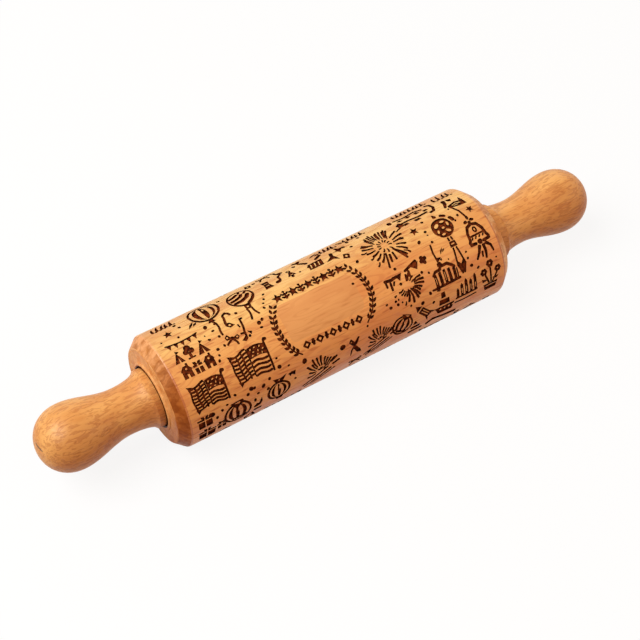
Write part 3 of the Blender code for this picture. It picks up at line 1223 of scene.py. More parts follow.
LANTERN = Group(
    Gored(6.0, 0.92, ((-0.86, -0.52), (-0.14, 0.24), (0.54, 0.84))),
    Shape(((-2.4, 7.6), (-0.6, 4.4), (0.8, 5.6), (2.2, 4.6), (4.8, 7.8), (1.4, 6.9))),
    Spot(0.8, 6.2, 0.4, mark=Mark.LEFT),
    Shape(((5.4, 7.0), (6.6, 5.2), (7.4, 6.0), (9.0, 4.8), (9.4, 7.4), (7.4, 7.4))),
    Spot(8.8, 2.6, 0.7), Shape(((-1.6, -5.2), (2.2, -5.2), (1.6, -7.0), (-1.0, -7.0))),
)
LEAVES = Group(
    Shape(((-2.6, -0.9), (-0.5, 0.7), (2.5, 1.0), (0.4, -0.5))),
    Shape(((-0.4, -1.3), (1.2, -0.3), (2.9, -0.6), (1.6, -1.7))),
)
CURL = Group(
    Line((*arc(1.6, -20, 200, 7, at=(0.6, 3.2)), (-1.4, 1.2), (-1.9, -0.8)), 1.0),
    Shape(((-2.4, -0.2), (-0.2, -0.9), (1.6, -3.0), (-0.9, -3.6), (-2.4, -2.0))),
    Spot(-0.7, -2.1, 0.5, mark=Mark.LEFT), Line(((2.5, -3.4), (3.0, -5.4)), FINE),
)
TWIG = Group(
    Line(((1.6, 5.0), (0.2, 5.1), (-0.2, 1.0), (-1.1, -1.6), (-1.1, -4.6))),
    Line(((-1.0, -2.0), (-3.2, -1.6))), Shape(((-1.6, -3.4), (-3.8, -4.6), (-2.2, -5.8), (-0.6, -4.8))),
    Shape(((0, -1.4), (2.4, -2.6), (1.4, -4.0))),
)
TREE = Group(
    Spot(0, 2.0, 1.7), Spot(-1.4, 0.4, 1.4), Spot(1.4, 0.4, 1.4), Line(((0, 0), (0.1, -2.8)), BOLD),
    Line(((-1.8, -2.9), (2.0, -2.9)), FINE),
)
REEL = Group(
    Shape(((-1.9, 3.2), (1.7, 3.0), (1.3, 0.2), (2.3, -3.0), (-2.0, -3.2), (-1.3, 0.2))),
    Line(((-0.9, 1.2), (0.9, 1.1)), 0.35, mark=Mark.LEFT),
    Line(((-0.9, -0.8), (1.0, -0.9)), 0.35, mark=Mark.LEFT),
)
NOTE = Group(Spot(-1.0, -1.8, 1.7, 0.7, 15), Line(((0.3, -1.6), (0.6, 2.0), (2.6, 3.4)), 1.0))
HANDBELL = Group(
    Shape(((-0.5, 2.0), (0.5, 2.0), (1.1, 0.4), (2.1, -1.8), (-2.1, -1.8), (-1.1, 0.4))),
    Loop(0, 2.7, 0.8, 0.6), Spot(0, -2.4, 0.8), Line(((-0.8, -0.9), (0.8, -0.9)), 0.35, mark=Mark.LEFT),
)
DRUM = Group(
    Shape(((-3.0, -3.0), (-2.4, 0.6), (3.6, 0.9), (2.9, -3.0))),
    *(Line(((x, -2.2), (x + 0.7, 0.1)), 0.4, mark=Mark.LEFT) for x in (-1.9, -0.3, 1.3)),
    Line(((-4.4, 5.0), (-1.6, 1.8)), BOLD), Line(((5.0, 4.2), (1.6, 1.8)), BOLD),
)
HORN = Group(
    Shape(((-2.6, -1.6), (0.2, 0.6), (1.4, 0.4), (2.6, -2.8), (0.4, -1.4))),
    Line(((0.6, 0.2), (1.2, 2.8)), BOLD),
)
BIRD = Shape(
    ((-3.2, 0.6), (-0.8, -0.2), (0.4, 3.0), (1.0, 0.2), (3.0, -0.4), (0.8, -1.4), (-0.6, -2.4), (-0.9, -0.9))
)
SQUARE_LINK = Group(Spot(radius=2.2, sides=4), Spot(radius=0.7, sides=4, mark=Mark.LEFT))
BANNER = Group(
    Line(((-10.4, 3.4), (-5.0, 2.6), (1.4, 3.6), (5.6, 2.2)), 1.0),
    Shape(((-9.4, 1.4), (-7.6, 2.2), (-6.2, 1.0), (-8.0, 0.4))),
    Shape(((-4.6, 1.6), (-2.8, 2.4), (-1.6, 1.2), (-3.4, 0.2))),
    Shape(((0.2, 2.2), (2.2, 2.6), (3.4, 0.8), (1.2, 0.4))),
    Line(((-9.8, -1.6), (-4.6, -1.2), (1.0, -1.8), (6.4, -1.2)), 1.0),
    Shape(((-8.6, -2.6), (-6.0, -2.2), (-5.2, -3.8), (-7.8, -4.0))),
    Shape(((-2.6, -2.6), (0.6, -2.8), (1.4, -4.2), (-1.8, -4.2))),
    Line(((7.6, 4.2), (9.8, 3.2), (10.4, 0.2), (9.2, -2.6), (6.6, -2.8)), 1.2),
    Line(((5.0, 0.4), (7.4, 0.6)), 1.2),
)
PENNANT = Group(
    Shape(
        ((-3.4, 2.0), (1.2, 3.4), (3.6, 2.6), (4.6, 5.4), (5.4, 2.6), (5.8, -1.0), (1.4, -0.8), (-2.2, 0))
    ),
    Line(((-1.2, 1.4), (1.0, 1.9), (3.4, 1.1)), 0.4, mark=Mark.LEFT),
    Line(((-0.6, 0.6), (1.8, 0.6)), 0.35, mark=Mark.LEFT),
    Line(((-2.6, 7.6), (-3.2, 4.0), (-4.8, 1.4)), 1.8, 1.1),
    Shape(((-1.4, 7.4), (1.4, 6.4), (0.6, 4.4), (-1.0, 5.0))),
    Line(((-3.0, 1.6), (-0.6, -3.2), (0.2, -8.0))), Spot(0.3, -8.6, 0.8, 1.5),
)
LOLLIPOP = Group(
    Spot(0, 0, 5.4, sides=28), Spot(-2.2, 1.8, 1.5, 0.62, 35, mark=Mark.LEFT),
    Spot(1.4, 3.0, 1.2, 0.5, -10, mark=Mark.LEFT), Spot(-3.0, -1.4, 1.0, 0.5, 70, mark=Mark.LEFT),
    Spot(0.2, -0.2, 0.8, 0.7, 10, mark=Mark.LEFT), Spot(3.2, 0.8, 1.2, 0.5, 80, mark=Mark.LEFT),
    Spot(1.8, -2.4, 1.5, 0.5, -40, mark=Mark.LEFT), Spot(-1.4, -3.4, 0.9, 0.6, 0, mark=Mark.LEFT),
    Line(arc(7.0, 6, 34, 4), 1.5), Line(arc(6.9, 44, 70, 4), 1.5), Line(arc(7.0, 82, 98, 3), 1.3),
    Line(((-0.9, -5.6), (-0.9, -7.6))), Line(((0.9, -5.6), (0.9, -7.6))),
    Shape(((-1.6, -7.8), (1.6, -7.8), (1.9, -10.8), (-1.9, -10.8))),
    Line(((-0.9, -9.2), (0.9, -9.2)), 0.55, mark=Mark.LEFT),
    Line(((-0.8, -11.0), (-1.7, -16.5), (-2.1, -19.5), (-0.4, -24.2)), 0.8),
    Line(((0.8, -11.0), (1.6, -16.5), (2.1, -19.5), (0.4, -24.2)), 0.8),
    Shape(
        ((-1.4, -17.6), (0, -19.2), (1.4, -17.6), (1.6, -19.8), (0.2, -23.8), (-0.2, -23.8), (-1.6, -19.8))
    ),
)
PAVILION = Group(
    Line(((-7.4, -4.6), (7.6, -4.4)), 1.1),
    Line(((-6.4, 1.4), (-4.6, 3.2), (-1.8, 3.4), (-1.4, 4.6), (2.4, 4.6), (4.6, 3.0), (5.8, 1.4)), 1.2),
    *(
        Shape(
            (
                (-6.1 + 2.55 * number, -4.0),
                (-4.4 + 2.55 * number, -4.0),
                (-4.5 + 2.55 * number, 2.0 + 0.9 * math.sin(math.pi * number / 4)),
                (-6.0 + 2.55 * number, 1.6 + 0.9 * math.sin(math.pi * number / 4)),
            )
        )
        for number in range(5)
    ),
    Line(((-5.3, -2.8), (-5.3, 0.6)), 0.3, mark=Mark.LEFT),
    Line(((-0.2, -2.8), (-0.2, 1.6)), 0.3, mark=Mark.LEFT), Line(((6.4, -4.0), (6.3, 1.0)), 0.6),
    Spot(-0.6, 6.0, 0.7), Spot(0.8, 7.4, 0.6),
)
FLAG_POLE = Group(
    Line(((0.9, 5.0), (0, 1.0), (0.3, -5.0)), 0.8), Shape(((-0.2, -1.6), (2.8, -2.2), (0.6, -3.8))),
    Shape(((-1.0, -5.8), (2.2, -5.4), (0.8, -3.8), (-0.8, -4.2))),
)
WEDDING_BELL = Group(
    Line(
        (
            (-5.4, -3.8), (-4.4, -1.8), (-4.0, 1.6), (-2.8, 4.2), (-0.4, 5.4),
            (2.4, 4.4), (3.8, 1.6), (4.4, -1.6), (5.4, -3.6),
        ),
        1.3,
    ),
    Spot(-2.0, 7.0, 1.2, 0.7, 20), Spot(-0.2, 6.4, 0.9), Spot(1.6, 7.2, 1.2, 0.7, -20),
    Spot(0.2, 2.2, 1.2, 1.4), Spot(0.2, 2.2, 0.36, 2.0, mark=Mark.LEFT),
    Line(((-3.6, -0.4), (3.8, -0.2)), 0.8),
    *(Line(((x, -2.2), (x + 0.9, -0.9)), 0.7) for x in (-3.4, -1.5, 0.4, 2.3)),
    Line(((-5.6, -4.0), (-1.6, -4.2)), 1.3), Line(((1.4, -4.2), (5.8, -3.8)), 1.3), Spot(0, -4.0, 1.4),
    Line(((-1.0, -5.4), (-2.6, -8.6), (-4.6, -11.6)), 1.5, 0.9),
    Line(((0.8, -5.4), (1.0, -9.0), (0.4, -12.6)), 1.5, 0.9),
    Line(((2.0, -5.2), (4.4, -7.4), (5.0, -10.8)), 1.4, 0.8), Line(((-0.8, -8.4), (-1.2, -11.4)), 0.8),
)
GARLAND = Group(
    Line(((-10.4, 5.8), (-6.4, 5.4), (-3.0, 5.8)), 1.2), Shape(((-4.4, 6.2), (-0.6, 6.6), (-2.6, 3.2))),
    Line(((-9.6, 5.2), (-9.8, 2.4)), 0.95), Line(((-7.4, 4.8), (-7.8, 0.4)), 0.95),
    Line(((-5.4, 4.4), (-6.6, 2.2)), 0.8), Line(((1.0, 6.2), (4.6, 7.4), (8.8, 8.8)), 1.2),
    Shape(((4.8, 7.0), (9.4, 8.2), (7.6, 4.6))), Line(((3.0, 6.2), (2.6, 3.0)), 1.1),
    Line(((1.0, 5.0), (0.4, 1.8)), 0.95), Fan(196, 246, 4, 2.6, 6.4, 0.9),
    Fan(198, 244, 4, 7.2, 9.8, 0.9), Fan(258, 292, 3, 2.0, 9.0, 1.1), Fan(304, 372, 6, 3.0, 8.6, 1.05),
    Fan(12, 60, 3, 2.2, 5.6, 0.9), Spot(-3.0, 1.8, 0.8), Spot(8.8, 2.4, 0.8),
)
FIREWORK = Group(
    Fan(40, 140, 11, 4.6, 11.4, 0.85, 0.5), Fan(150, 232, 6, 4.6, 11.0, 1.05),
    Fan(-52, 30, 6, 4.6, 11.0, 1.05), Fan(20, 160, 6, 1.8, 4.2, 0.75), Fan(190, 350, 5, 2.0, 4.4, 0.8),
    Fan(152, 226, 4, 8.6, 12.6, 0.9), Fan(-44, 24, 4, 8.6, 12.6, 0.9),
    Line(((-2.0, -3.8), (-4.2, -11.6)), 0.9), Line(((-0.6, -5.0), (-1.6, -9.4)), 1.1, 0.8),
    Line(((1.0, -4.6), (1.0, -9.2)), 0.9), Line(((2.2, -3.0), (6.4, -10.6)), 1.0),
    Spot(-2.4, -12.8, 0.8),
)
SPRAY = Group(
    Fan(24, 150, 9, 3.4, 9.8, 0.95, 0.3), Fan(20, 130, 5, 1.2, 3.2, 0.8),
    Fan(160, 186, 2, 3.0, 8.6, 1.1), Line(((-10.2, -5.8), (3.6, 1.0)), 0.95),
    Line(((-9.0, -7.6), (5.2, -0.8)), 0.95), Line(((-5.6, -7.8), (7.2, -1.8)), 0.8),
    Line(((5.0, 3.0), (8.6, 5.4)), 1.1), Line(((5.6, 1.0), (9.8, 2.4)), 1.1),
)
VASE = Group(
    Shape(((-2.2, -1.6), (-0.4, 0.4), (0.8, 0), (2.4, 3.4), (2.8, 0.4), (1.6, -1.8), (-1.4, -2.4))),
    Spot(-1.0, 3.2, 0.8, 1.4), Line(((-2.0, -4.4), (2.2, -4.2)), 1.5),
)
RIBBON = Group(
    Shape(
        ((-2.6, 3.4), (-1.2, 5.2), (0.4, 2.6), (2.4, 4.8), (3.4, 4.4), (1.6, 1.2), (0.2, 0.2), (-1.2, 1.2))
    ),
    Spot(-1.3, 3.2, 0.35, mark=Mark.LEFT),
    Line(((-0.2, 1.0), (2.6, -3.2), (3.0, -4.4), (1.6, -3.8), (-0.2, -0.4)), 0.9),
    Line(((0.4, 0.8), (-1.6, -1.6), (-2.4, -4.8)), 1.1, 0.5),
)
CAKE_STAND = Group(
    Shape(((-1.6, 0.2), (0, 2.8), (1.4, 0.2))), Line(((-2.6, -1.8), (2.8, -1.6)), 1.6),
    Line(((-3.8, -4.4), (4.0, -4.2)), 1.4),
)
ROCKET = Group(
    Shape(((-2.0, 3.4), (0, 6.6), (2.0, 3.4))),
    Shape(((-1.9, 2.8), (1.9, 2.8), (1.9, -4.2), (-1.9, -4.2))),
    Line(((-0.5, 1.6), (-0.5, -3.0)), 0.45, mark=Mark.LEFT),
    Line(((0.7, 1.6), (0.7, -3.0)), 0.35, mark=Mark.LEFT),
    Shape(((-1.9, -2.4), (-3.4, -6.0), (-1.7, -4.8))), Shape(((1.9, -2.4), (3.4, -6.0), (1.7, -4.8))),
)
STEAMBOAT = Group(
    Shape(((-11.6, -2.4), (-10.0, -6.0), (-3.6, -6.4), (-2.4, -2.6))),
    *(Spot(-9.0 + 2.0 * number, -4.0, 0.45, mark=Mark.LEFT) for number in range(4)),
    Shape(((-9.6, -1.8), (-9.4, 0.8), (-4.8, 0.6), (-4.6, -2.0))),
    Shape(((-8.4, 1.4), (-8.2, 4.0), (-6.4, 4.0), (-6.2, 1.4))), Spot(-8.8, 5.6, 0.9, 0.7),
    Spot(-10.8, 6.6, 0.8, 0.7), Line(((-15.6, -9.2), (-12.4, -7.6), (-6.0, -9.0), (-1.0, -9.6)), 1.4),
)
TOWERS = Group(
    *(
        Shape(((left, -2.0), (left, top), (left + 0.8, top + 1.4), (left + 1.6, top), (left + 1.6, -2.0)))
        for left, top in ((-0.8, 2.0), (1.7, 3.8), (4.2, 5.2), (6.7, 4.0), (9.2, 5.8))
    ),
    *(Line(((x, -0.8), (x, 2.2)), 0.4, mark=Mark.LEFT) for x in (2.5, 5.0, 7.5, 10.0)),
    Line(((-1.6, -2.4), (11.2, -2.4)), 0.9), Line(((-2.0, -4.8), (3.6, -5.2), (10.6, -4.8)), 0.9),
)
FLOWERPOT = Group(
    Shape(((-2.8, -7.6), (3.2, -7.6), (4.2, -3.4), (-3.8, -3.4))),
    Line(((-2.6, -4.8), (3.2, -4.8)), 0.4, mark=Mark.LEFT), Line(((-0.6, -3.4), (-2.8, 2.6)), 0.8),
    Line(((0.4, -3.4), (0.6, 5.6)), 0.8), Line(((1.2, -3.4), (4.2, 1.8)), 0.8),
    *(
        part
        for x, y, size in ((-3.2, 4.0, 2.1), (0.8, 7.4, 2.0), (4.6, 3.2, 1.9))
        for part in (
            *(Spot(*place, 0.95) for place in arc(size * 0.55, 0, 300, 5, at=(x, y))),
            Spot(x, y, 0.4, mark=Mark.LEFT),
        )
    ),
    Shape(((-1.2, -1.2), (-4.6, 0.6), (-4.2, -1.8))), Shape(((1.0, -0.8), (3.4, -2.4), (5.0, -0.6))),
)
CUPCAKE = Group(
    Shape(((-2.8, -0.4), (2.8, -0.4), (2.0, -4.0), (-2.0, -4.0))),
    *(Line(((x * 1.1, -1.0), (x * 0.8, -3.5)), 0.4, mark=Mark.LEFT) for x in (-1.2, 0, 1.2)),
    Line(arc(3.2, 180, 0, 7, 0.8, (0, 0.4)), 1.0),
    Line(wavy((-2.6, 0.8), (2.6, 0.8), 0.4, 1.5, 9), 0.6), Spot(0, 3.7, 0.9),
)
HEART = Shape(
    ((0, -2.2), (2.2, 0.2), (2.0, 1.6), (0.9, 1.9), (0, 0.9), (-0.9, 1.9), (-2.0, 1.6), (-2.2, 0.2))
)
KITE = Group(
    Line(((0, 4.4), (2.8, 1.2), (0, -3.6), (-2.8, 1.2)), closed=True),
    Shape(((0.3, 3.4), (2.0, 1.3), (0.3, 1.3))), Shape(((-0.3, 0.9), (-1.9, 0.9), (-0.3, -2.2))),
    Line(wavy((0, -3.8), (1.6, -8.4), 0.7, 1.0, 8), FINE), Spot(0.9, -5.4, 0.9, 0.5, 20),
    Spot(1.2, -7.4, 0.9, 0.5, -20),
)


# Stems of the wreath's two sprigs, from the top down.
RIGHT_STEM = (
    (11.4, -2.0), (13.8, -6.0), (15.4, -10.5), (16.0, -15.5), (15.3, -20.0), (13.2, -25.0), (8.8, -30.0)
)
LEFT_STEM = (
    (-29.0, -4.6), (-31.2, -8.4), (-32.6, -13.0), (-32.2, -18.6), (-30.8, -23.4), (-28.6, -27.0),
    (-25.4, -29.8),
)

# The rows of figures. Each entry has a motif, its x and y, and then its turn, scale and flip,
# where it has them. These are balloons, small figures, a firework and a banner, over the wreath.
UPPER_ROWS = (
    (Tuft(), -75.2, 13.8), (Star(), -75.5, 7.8, -6), (BALLOON, -55.6, 12.0), (LEAVES, -64.4, 6.6, 28),
    (STRIPED_BALLOON, -37.6, 9.8), (CURL, -49.4, -0.6), (TWIG, -44.9, -7.2),
    (Bow(6.8), -52.2, -9.0, -18), (Bunting(), -72.4, 0.8), (Tent(4.8, 5.6), -78.0, -6.2),
    (TREE, -72.4, -6.0), (Tent(5.6, 6.2), -66.2, -6.4), (Cottage(4.8), -77.4, -13.8),
    (Gift(4.0, 4.2), -71.8, -14.6), (Cottage(4.6), -66.2, -13.8), (REEL, -23.6, 9.8),
    (NOTE, -17.2, 10.2), (HANDBELL, -11.0, 9.8), (DRUM, 1.0, 9.4, 0, 1.25), (HORN, 9.3, 7.8, 0, 1.25),
    (BIRD, 14.8, 11.4, 20, 1.2), (LEAVES, 4.6, 17.0, 10, 1.2), (LEAVES, 18.6, 17.6, -20),
    (SQUARE_LINK, -30.6, 16.0, 30), (SQUARE_LINK, 15.6, 4.2, 20), (Bow(7.0), -22.0, 18.4, 6),
    (NOTE, -15.6, 16.6, 0, 1, True), (HEART, -4.2, 17.4), (Tuft(6.0, 5.4, 4), 11.6, 15.0),
    (Tuft(9.0, 5.4, 5), 26.0, 15.2), (FIREWORK, 33.6, 0.0), (Star(2.5), 49.8, 0.0, 10),
    (Flower(1.9), 47.0, 7.4), (Flower(2.1, 4), 45.6, -14.6, 20), (BANNER, 56.6, 9.4),
    (PENNANT, 75.6, 3.2), (Star(2.1), 80.0, -1.8, 15), (Tuft(16.0, 5.2, 8), 57.0, 15.6),
    (Tuft(8.0, 6.6, 4), 74.6, 12.8), (LOLLIPOP, 62.8, -4.6), (WEDDING_BELL, 75.8, -14.4),
)

# Two laurel sprigs round a bare panel, with a border row above and below it.
WREATH = (
    (Sprig(RIGHT_STEM, 12), 0, 0), (Sprig(LEFT_STEM, 11), 0, 0), (Panel(), -9.0, -13.8),
    (BorderRow(32.4, 9, 5.2), -8.2, -0.8), (BorderRow(27.6, 9, 4.2, lozenges=True), -8.4, -26.3),
)

# Two flags, a garland and a pavilion, beside the wreath.
MIDDLE_ROWS = (
    (Flag(16.2, 11.6), -72.2, -26.4), (Flag(17.4, 13.0), -49.2, -22.8), (GARLAND, 33.6, -22.0),
    (FLAG_POLE, 51.6, -14.8), (LEAVES, 55.8, -14.6, 35, 0.7), (PAVILION, 53.2, -25.4),
)

# Gifts, lanterns, fireworks and a steamboat, under the wreath.
LOWER_ROWS = (
    (Gift(7.0, 5.6), -77.6, -40.2), (Gift(8.2, 6.4), -77.0, -49.0), (Gift(4.4, 4.4), -69.6, -47.6),
    (HOT_AIR_BALLOON, -61.4, -43.8), (VASE, -51.4, -44.4), (LANTERN, -40.2, -42.6),
    (SPRAY, -17.6, -43.8), (RIBBON, 0.2, -38.8), (CAKE_STAND, 33.6, -44.4),
    (SPRAY, 14.4, -43.0, 0, 0.9), (HOT_AIR_BALLOON, 26.4, -40.6, -30, 0.84), (ROCKET, 38.6, -38.8, 42),
    (STEAMBOAT, 58.4, -37.8, 0, 1.2), (TOWERS, 57.6, -38.0), (FLOWERPOT, 76.0, -37.4),
)

# The rows that the photograph's lower edge only touches.
LAST_ROWS = (
    (Star(3.0), -76.4, -57.2, 12), (CUPCAKE, -67.0, -58.4), (KITE, -55.4, -54.6, -20),
    (Bunting(20.0, 6, 3.2), -37.0, -54.6, 4), (HEART, -46.6, -59.6, -10, 1.15),
    (Tent(6.0, 5.4), -36.0, -60.8), (DRUM, -24.6, -59.8, 0, 0.9), (Bow(8.0), -10.6, -59.4),
    (Bow(7.6), 0.8, -49.4, 4), (NOTE, -1.0, -59.4, 0, 1.2), (Gift(5.0, 4.8), 7.4, -58.6),
    (ROCKET, 18.0, -58.0, -62, 0.85), (Star(2.8), 30.6, -57.6, -14),
    (Bunting(17.0, 5, 3.0), 45.2, -54.0, -5), (TREE, 40.4, -60.2, 0, 1.1), (Cottage(5.8), 50.6, -60.0),
    (HANDBELL, 58.6, -56.8, 0, 1.4), (CUPCAKE, 66.6, -56.0), (REEL, 76.6, -57.4, 0, 1.2),
)

# Small spots between the figures: x, y and radius. Their shapes come in turn.
SPECKS = (
    (-70.3, 12.0, 0.9), (-69.0, 9.0, 0.7), (-72.5, 3.2, 0.8), (-80.4, 4.4, 0.5), (-60.0, 1.6, 1.0),
    (-58.0, -1.7, 0.8), (-56.9, -5.5, 0.7), (-60.5, -10.7, 0.7), (-57.0, -10.4, 0.8),
    (-55.4, 1.4, 0.7), (-44.3, 1.6, 0.7), (-48.7, 4.4, 0.8), (-38.0, -7.8, 1.0), (-36.0, -7.0, 0.8),
    (-38.0, -10.3, 0.8), (-44.6, -11.4, 0.7), (-61.6, -5.0, 0.6), (-62.6, -2.4, 0.5),
    (-61.2, -13.4, 0.6), (-62.2, -15.6, 0.7), (-28.4, 4.8, 0.8), (-29.8, 2.0, 0.7), (-31.2, 0.0, 0.5),
    (-32.0, -2.4, 0.8), (-27.2, 16.8, 0.9), (-7.0, 14.6, 0.9), (-7.0, 8.0, 0.7), (-2.2, 8.6, 0.8),
    (17.7, -1.5, 0.8), (21.0, 8.8, 0.9), (18.1, 11.2, 0.9), (9.9, -10.5, 0.6), (21.6, 14.0, 1.1),
    (27.4, 13.4, 0.8), (44.2, 12.4, 1.3), (48.5, -6.4, 1.1), (56.3, 2.8, 0.8), (54.2, -3.0, 0.7),
    (54.2, -5.0, 0.5), (54.2, -9.0, 0.7), (62.6, 3.4, 0.6), (73.0, -2.2, 0.8), (71.6, 3.2, 0.6),
    (70.4, -4.2, 0.5), (67.0, -20.0, 0.7), (66.8, -23.0, 0.7), (67.5, -27.0, 0.8), (57.4, -19.4, 0.5),
    (45.6, -21.2, 0.6), (43.3, -30.6, 0.8), (32.2, -32.0, 0.7), (38.4, -33.6, 1.0), (20.6, -26.2, 0.6),
    (22.0, -28.4, 1.0), (25.2, -26.6, 0.7), (26.0, -28.6, 0.7), (8.4, -31.4, 0.7), (-5.8, -36.0, 1.5),
    (-25.6, -33.2, 1.2), (-33.4, -31.4, 0.7), (-37.8, -30.0, 1.1), (-38.0, -25.6, 0.5),
    (-61.4, -33.0, 0.9), (-43.8, -33.2, 0.9), (-53.4, -33.8, 1.1), (-51.8, -34.2, 0.9),
    (-55.4, -36.0, 0.9), (-47.4, -35.4, 1.0), (-50.4, -38.0, 0.8), (-45.4, -38.2, 0.9),
    (-74.0, -37.4, 1.4), (-68.8, -37.6, 0.9), (-66.0, -36.0, 0.7), (-71.6, -40.4, 0.8),
    (44.0, -36.0, 0.9), (8.2, -47.4, 1.2), (70.6, -29.4, 0.7), (81.0, -28.6, 0.6), (28.2, -16.2, 0.6),
    (-46.2, 15.6, 0.8),
)
SPECK_SHAPES = (1.0, 1.25, 0.8)
SPECK_TURN = 37


@dataclass(frozen=True)
class Engraving:
    """The whole engraved pattern: one repeat, and its mirror image half way round.

    Attributes:
        repeat: Height of one repeat, half the roller's girth.
        tremor: How far the lines waver.
        tremor_length: How far apart the wavers are.
    """

    repeat: float
    tremor: float = 0.22
    tremor_length: float = 2.6

    def draw(self) -> Drawing:
        """Draw both repeats.

        Returns:
            The finished drawing.
        """
        sheet = Drawing()
        for row in (UPPER_ROWS, WREATH, MIDDLE_ROWS, LOWER_ROWS, LAST_ROWS):
            for motif, x, y, *setting in row:
                sheet.stamp(motif, (x, y), *setting)
        for number, (x, y, radius) in enumerate(SPECKS):
            tall = SPECK_SHAPES[number % len(SPECK_SHAPES)]
            sheet.stamp(Spot(radius=radius, tall=tall), (x, y), SPECK_TURN * number)
        sheet.repeat_mirrored(self.repeat)
        sheet.unsteady(self.tremor, self.tremor_length)
        return sheet


def lathe(form: BMesh, outline: Path, start: float, turn: float, steps: int) -> None:
    """Turn an outline round the axle.

    Args:
        form: The form that it is added to.
        outline: Place along the axle and radius of each point, in order.
        start: Where the outline stands, from the top towards the back.
        turn: How far round it is turned.
        steps: How many facets that gives.
    """
    across, up = math.sin(start), math.cos(start)
    verts = [form.verts.new((along, reach * across, reach * up)) for along, reach in outline]
    edges = [form.edges.new(pair) for pair in zip(verts, verts[1:])]
    spin_round(form, verts + edges, Vector((1, 0, 0)), turn, steps)


@dataclass
class EngravedRoller:
    """The beech roller: an engraved barrel between turned ends, bored through for the axle.

    Attributes:
        body: The CAD body that it rides on.
        node: The CAD node that it stands for.
        radius: Rolling radius.
        length: From end face to end face.
        shift: Place of its middle along the axle.
        chamfer_length: Length of the chamfer along the axle.
        chamfer_height: Depth of the chamfer towards the axle.
        edge_round: Size of the sanded rounding on the chamfer's edges.
        dish: How far the end face is hollowed.
        bead_width: Width of the bead round the recess.
        bead_height: How far the bead stands proud.
        recess_radius: Radius of the recess for the collar.
        recess_depth: Depth of that recess.
        recess_lip: Distance from the face to where the recess runs into the bead.
        recess_shade_rim: How far up the bead the recess's dark wood, which is painted shade, reaches.
        bush_radius: Radius of the pocket for the bush.
        bush_length: Length of that pocket.
        bore_radius: Radius of the passage for the axle.
        columns: How many facets there are round it.
        depth: Depth of the engraving.
        weld_margin: Distance from the chamfer to where barrel and ends are joined.
        seam_turn: Where the sheet's edges meet, in turns from the top towards the back.
        skin: How near the rolling radius a face counts as barrel.
        squareness: How squarely a face looks along the axle to count as end grain.
    """

    body: str = "roller"
    node: str = "roller"
    radius: float = 27.5
    length: float = 179.0
    shift: float = -2.1
    chamfer_length: float = 4.9
    chamfer_height: float = 4.3
    edge_round: float = 0.45
    dish: float = 0.25
    bead_width: float = 2.0
    bead_height: float = 0.7
    recess_radius: float = 14.7
    recess_depth: float = 8.7
    recess_lip: float = 0.6
    recess_shade_rim: float = 0.8
    bush_radius: float = 7.4
    bush_length: float = 18.3
    bore_radius: float = 5.6
    columns: int = 144
    depth: float = 1.0
    weld_margin: float = 1.2
    seam_turn: float = -0.375
    skin: float = 0.1
    squareness: float = 0.9

    @property
    def girth(self) -> float:
        """Length once round the barrel."""
        return math.tau * self.radius

    @property
    def face(self) -> float:
        """Distance from the roller's middle to its end faces."""
        return self.length / 2

    @property
    def seam(self) -> float:
        """Lowest line of the sheet, at the lower front, where no figure crosses."""
        return self.seam_turn * self.girth

    @property
    def sheet_end(self) -> float:
        """Distance from the roller's middle to where the sheet stops."""
        return self.face - self.chamfer_length - self.weld_margin

    def build(self, materials: dict[Surface, bpy.types.Material]) -> bpy.types.Object:
        """Build the roller and put it on its body.

        Args:
            materials: One for each kind of surface.

        Returns:
            The finished piece.
        """
        form = self.carved_sheet()
        self.bend(form)
        self.spin_ends(form)
        open_verts = [vert for vert in form.verts if vert.is_boundary]
        bmesh.ops.remove_doubles(form, verts=open_verts, dist=MERGE_DISTANCE)
        bmesh.ops.recalc_face_normals(form, faces=form.faces)
        place = Matrix.Scale(MM, 4) @ Matrix.Translation((self.shift, 0, 0))
        bmesh.ops.transform(form, matrix=place, verts=form.verts)
        piece = make_piece(form, "engraved_roller", [materials[kind] for kind in Surface])
        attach(piece, self.body)
        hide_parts(self.node)
        return piece

    def carved_sheet(self) -> BMesh:
        """Cut the drawing into a flat sheet of wood.

        Returns:
            The sheet, with its floors sunk and its walls made.
        """
        drawing = Engraving(self.girth / 2).draw().form
        drawing.verts.index_update()
        drawing.faces.ensure_lookup_table()
        points = [vert.co.xy for vert in drawing.verts]
        lines = [tuple(vert.index for vert in edge.verts) for edge in drawing.edges]
        for column in range(self.columns + 1):
            height = self.seam - self.girth / 2 + self.girth * column / self.columns
            lines.append((len(points), len(points) + 1))
            points.append(Vector((-self.sheet_end, height)))
            points.append(Vector((self.sheet_end, height)))
        places, _, triangles, *_ = delaunay_2d_cdt(points, lines, [], 0, CUT_DISTANCE)

        form = bmesh.new()
        verts = [form.verts.new((place.x, place.y, 0)) for place in places]
        cover = BVHTree.FromBMesh(drawing)
        for corners in triangles:
            face = form.faces.new([verts[corner] for corner in corners])
            above = cover.find_nearest_range(face.calc_center_median(), CUT_DISTANCE)
            marks = [Mark(drawing.faces[hit[2]].material_index) for hit in above]
            mark = max(marks, key=lambda each: each.value, default=Mark.LEFT)
            if mark is Mark.BURNT:
                face.material_index = Surface.FLOOR.value
            elif Mark.SANDED in marks:
                face.material_index = Surface.PANEL.value
        drawing.free()
        self.widen_pinches(form)
        self.sink_floors(form)
        return form

    @staticmethod
    def widen_pinches(form: BMesh) -> None:
        """Cut the wood round each point where only the corners of two floors meet."""
        pinched = list(form.verts)
        while pinched:
            around = set()
            for vert in pinched:
                sides = [{face.material_index for face in edge.link_faces} for edge in vert.link_edges]
                if sum(Surface.FLOOR.value in kinds and len(kinds) > 1 for kinds in sides) > 2:
                    around.update(vert.link_faces)
            for face in around:
                face.material_index = Surface.FLOOR.value
            pinched = list({vert for face in around for vert in face.verts})

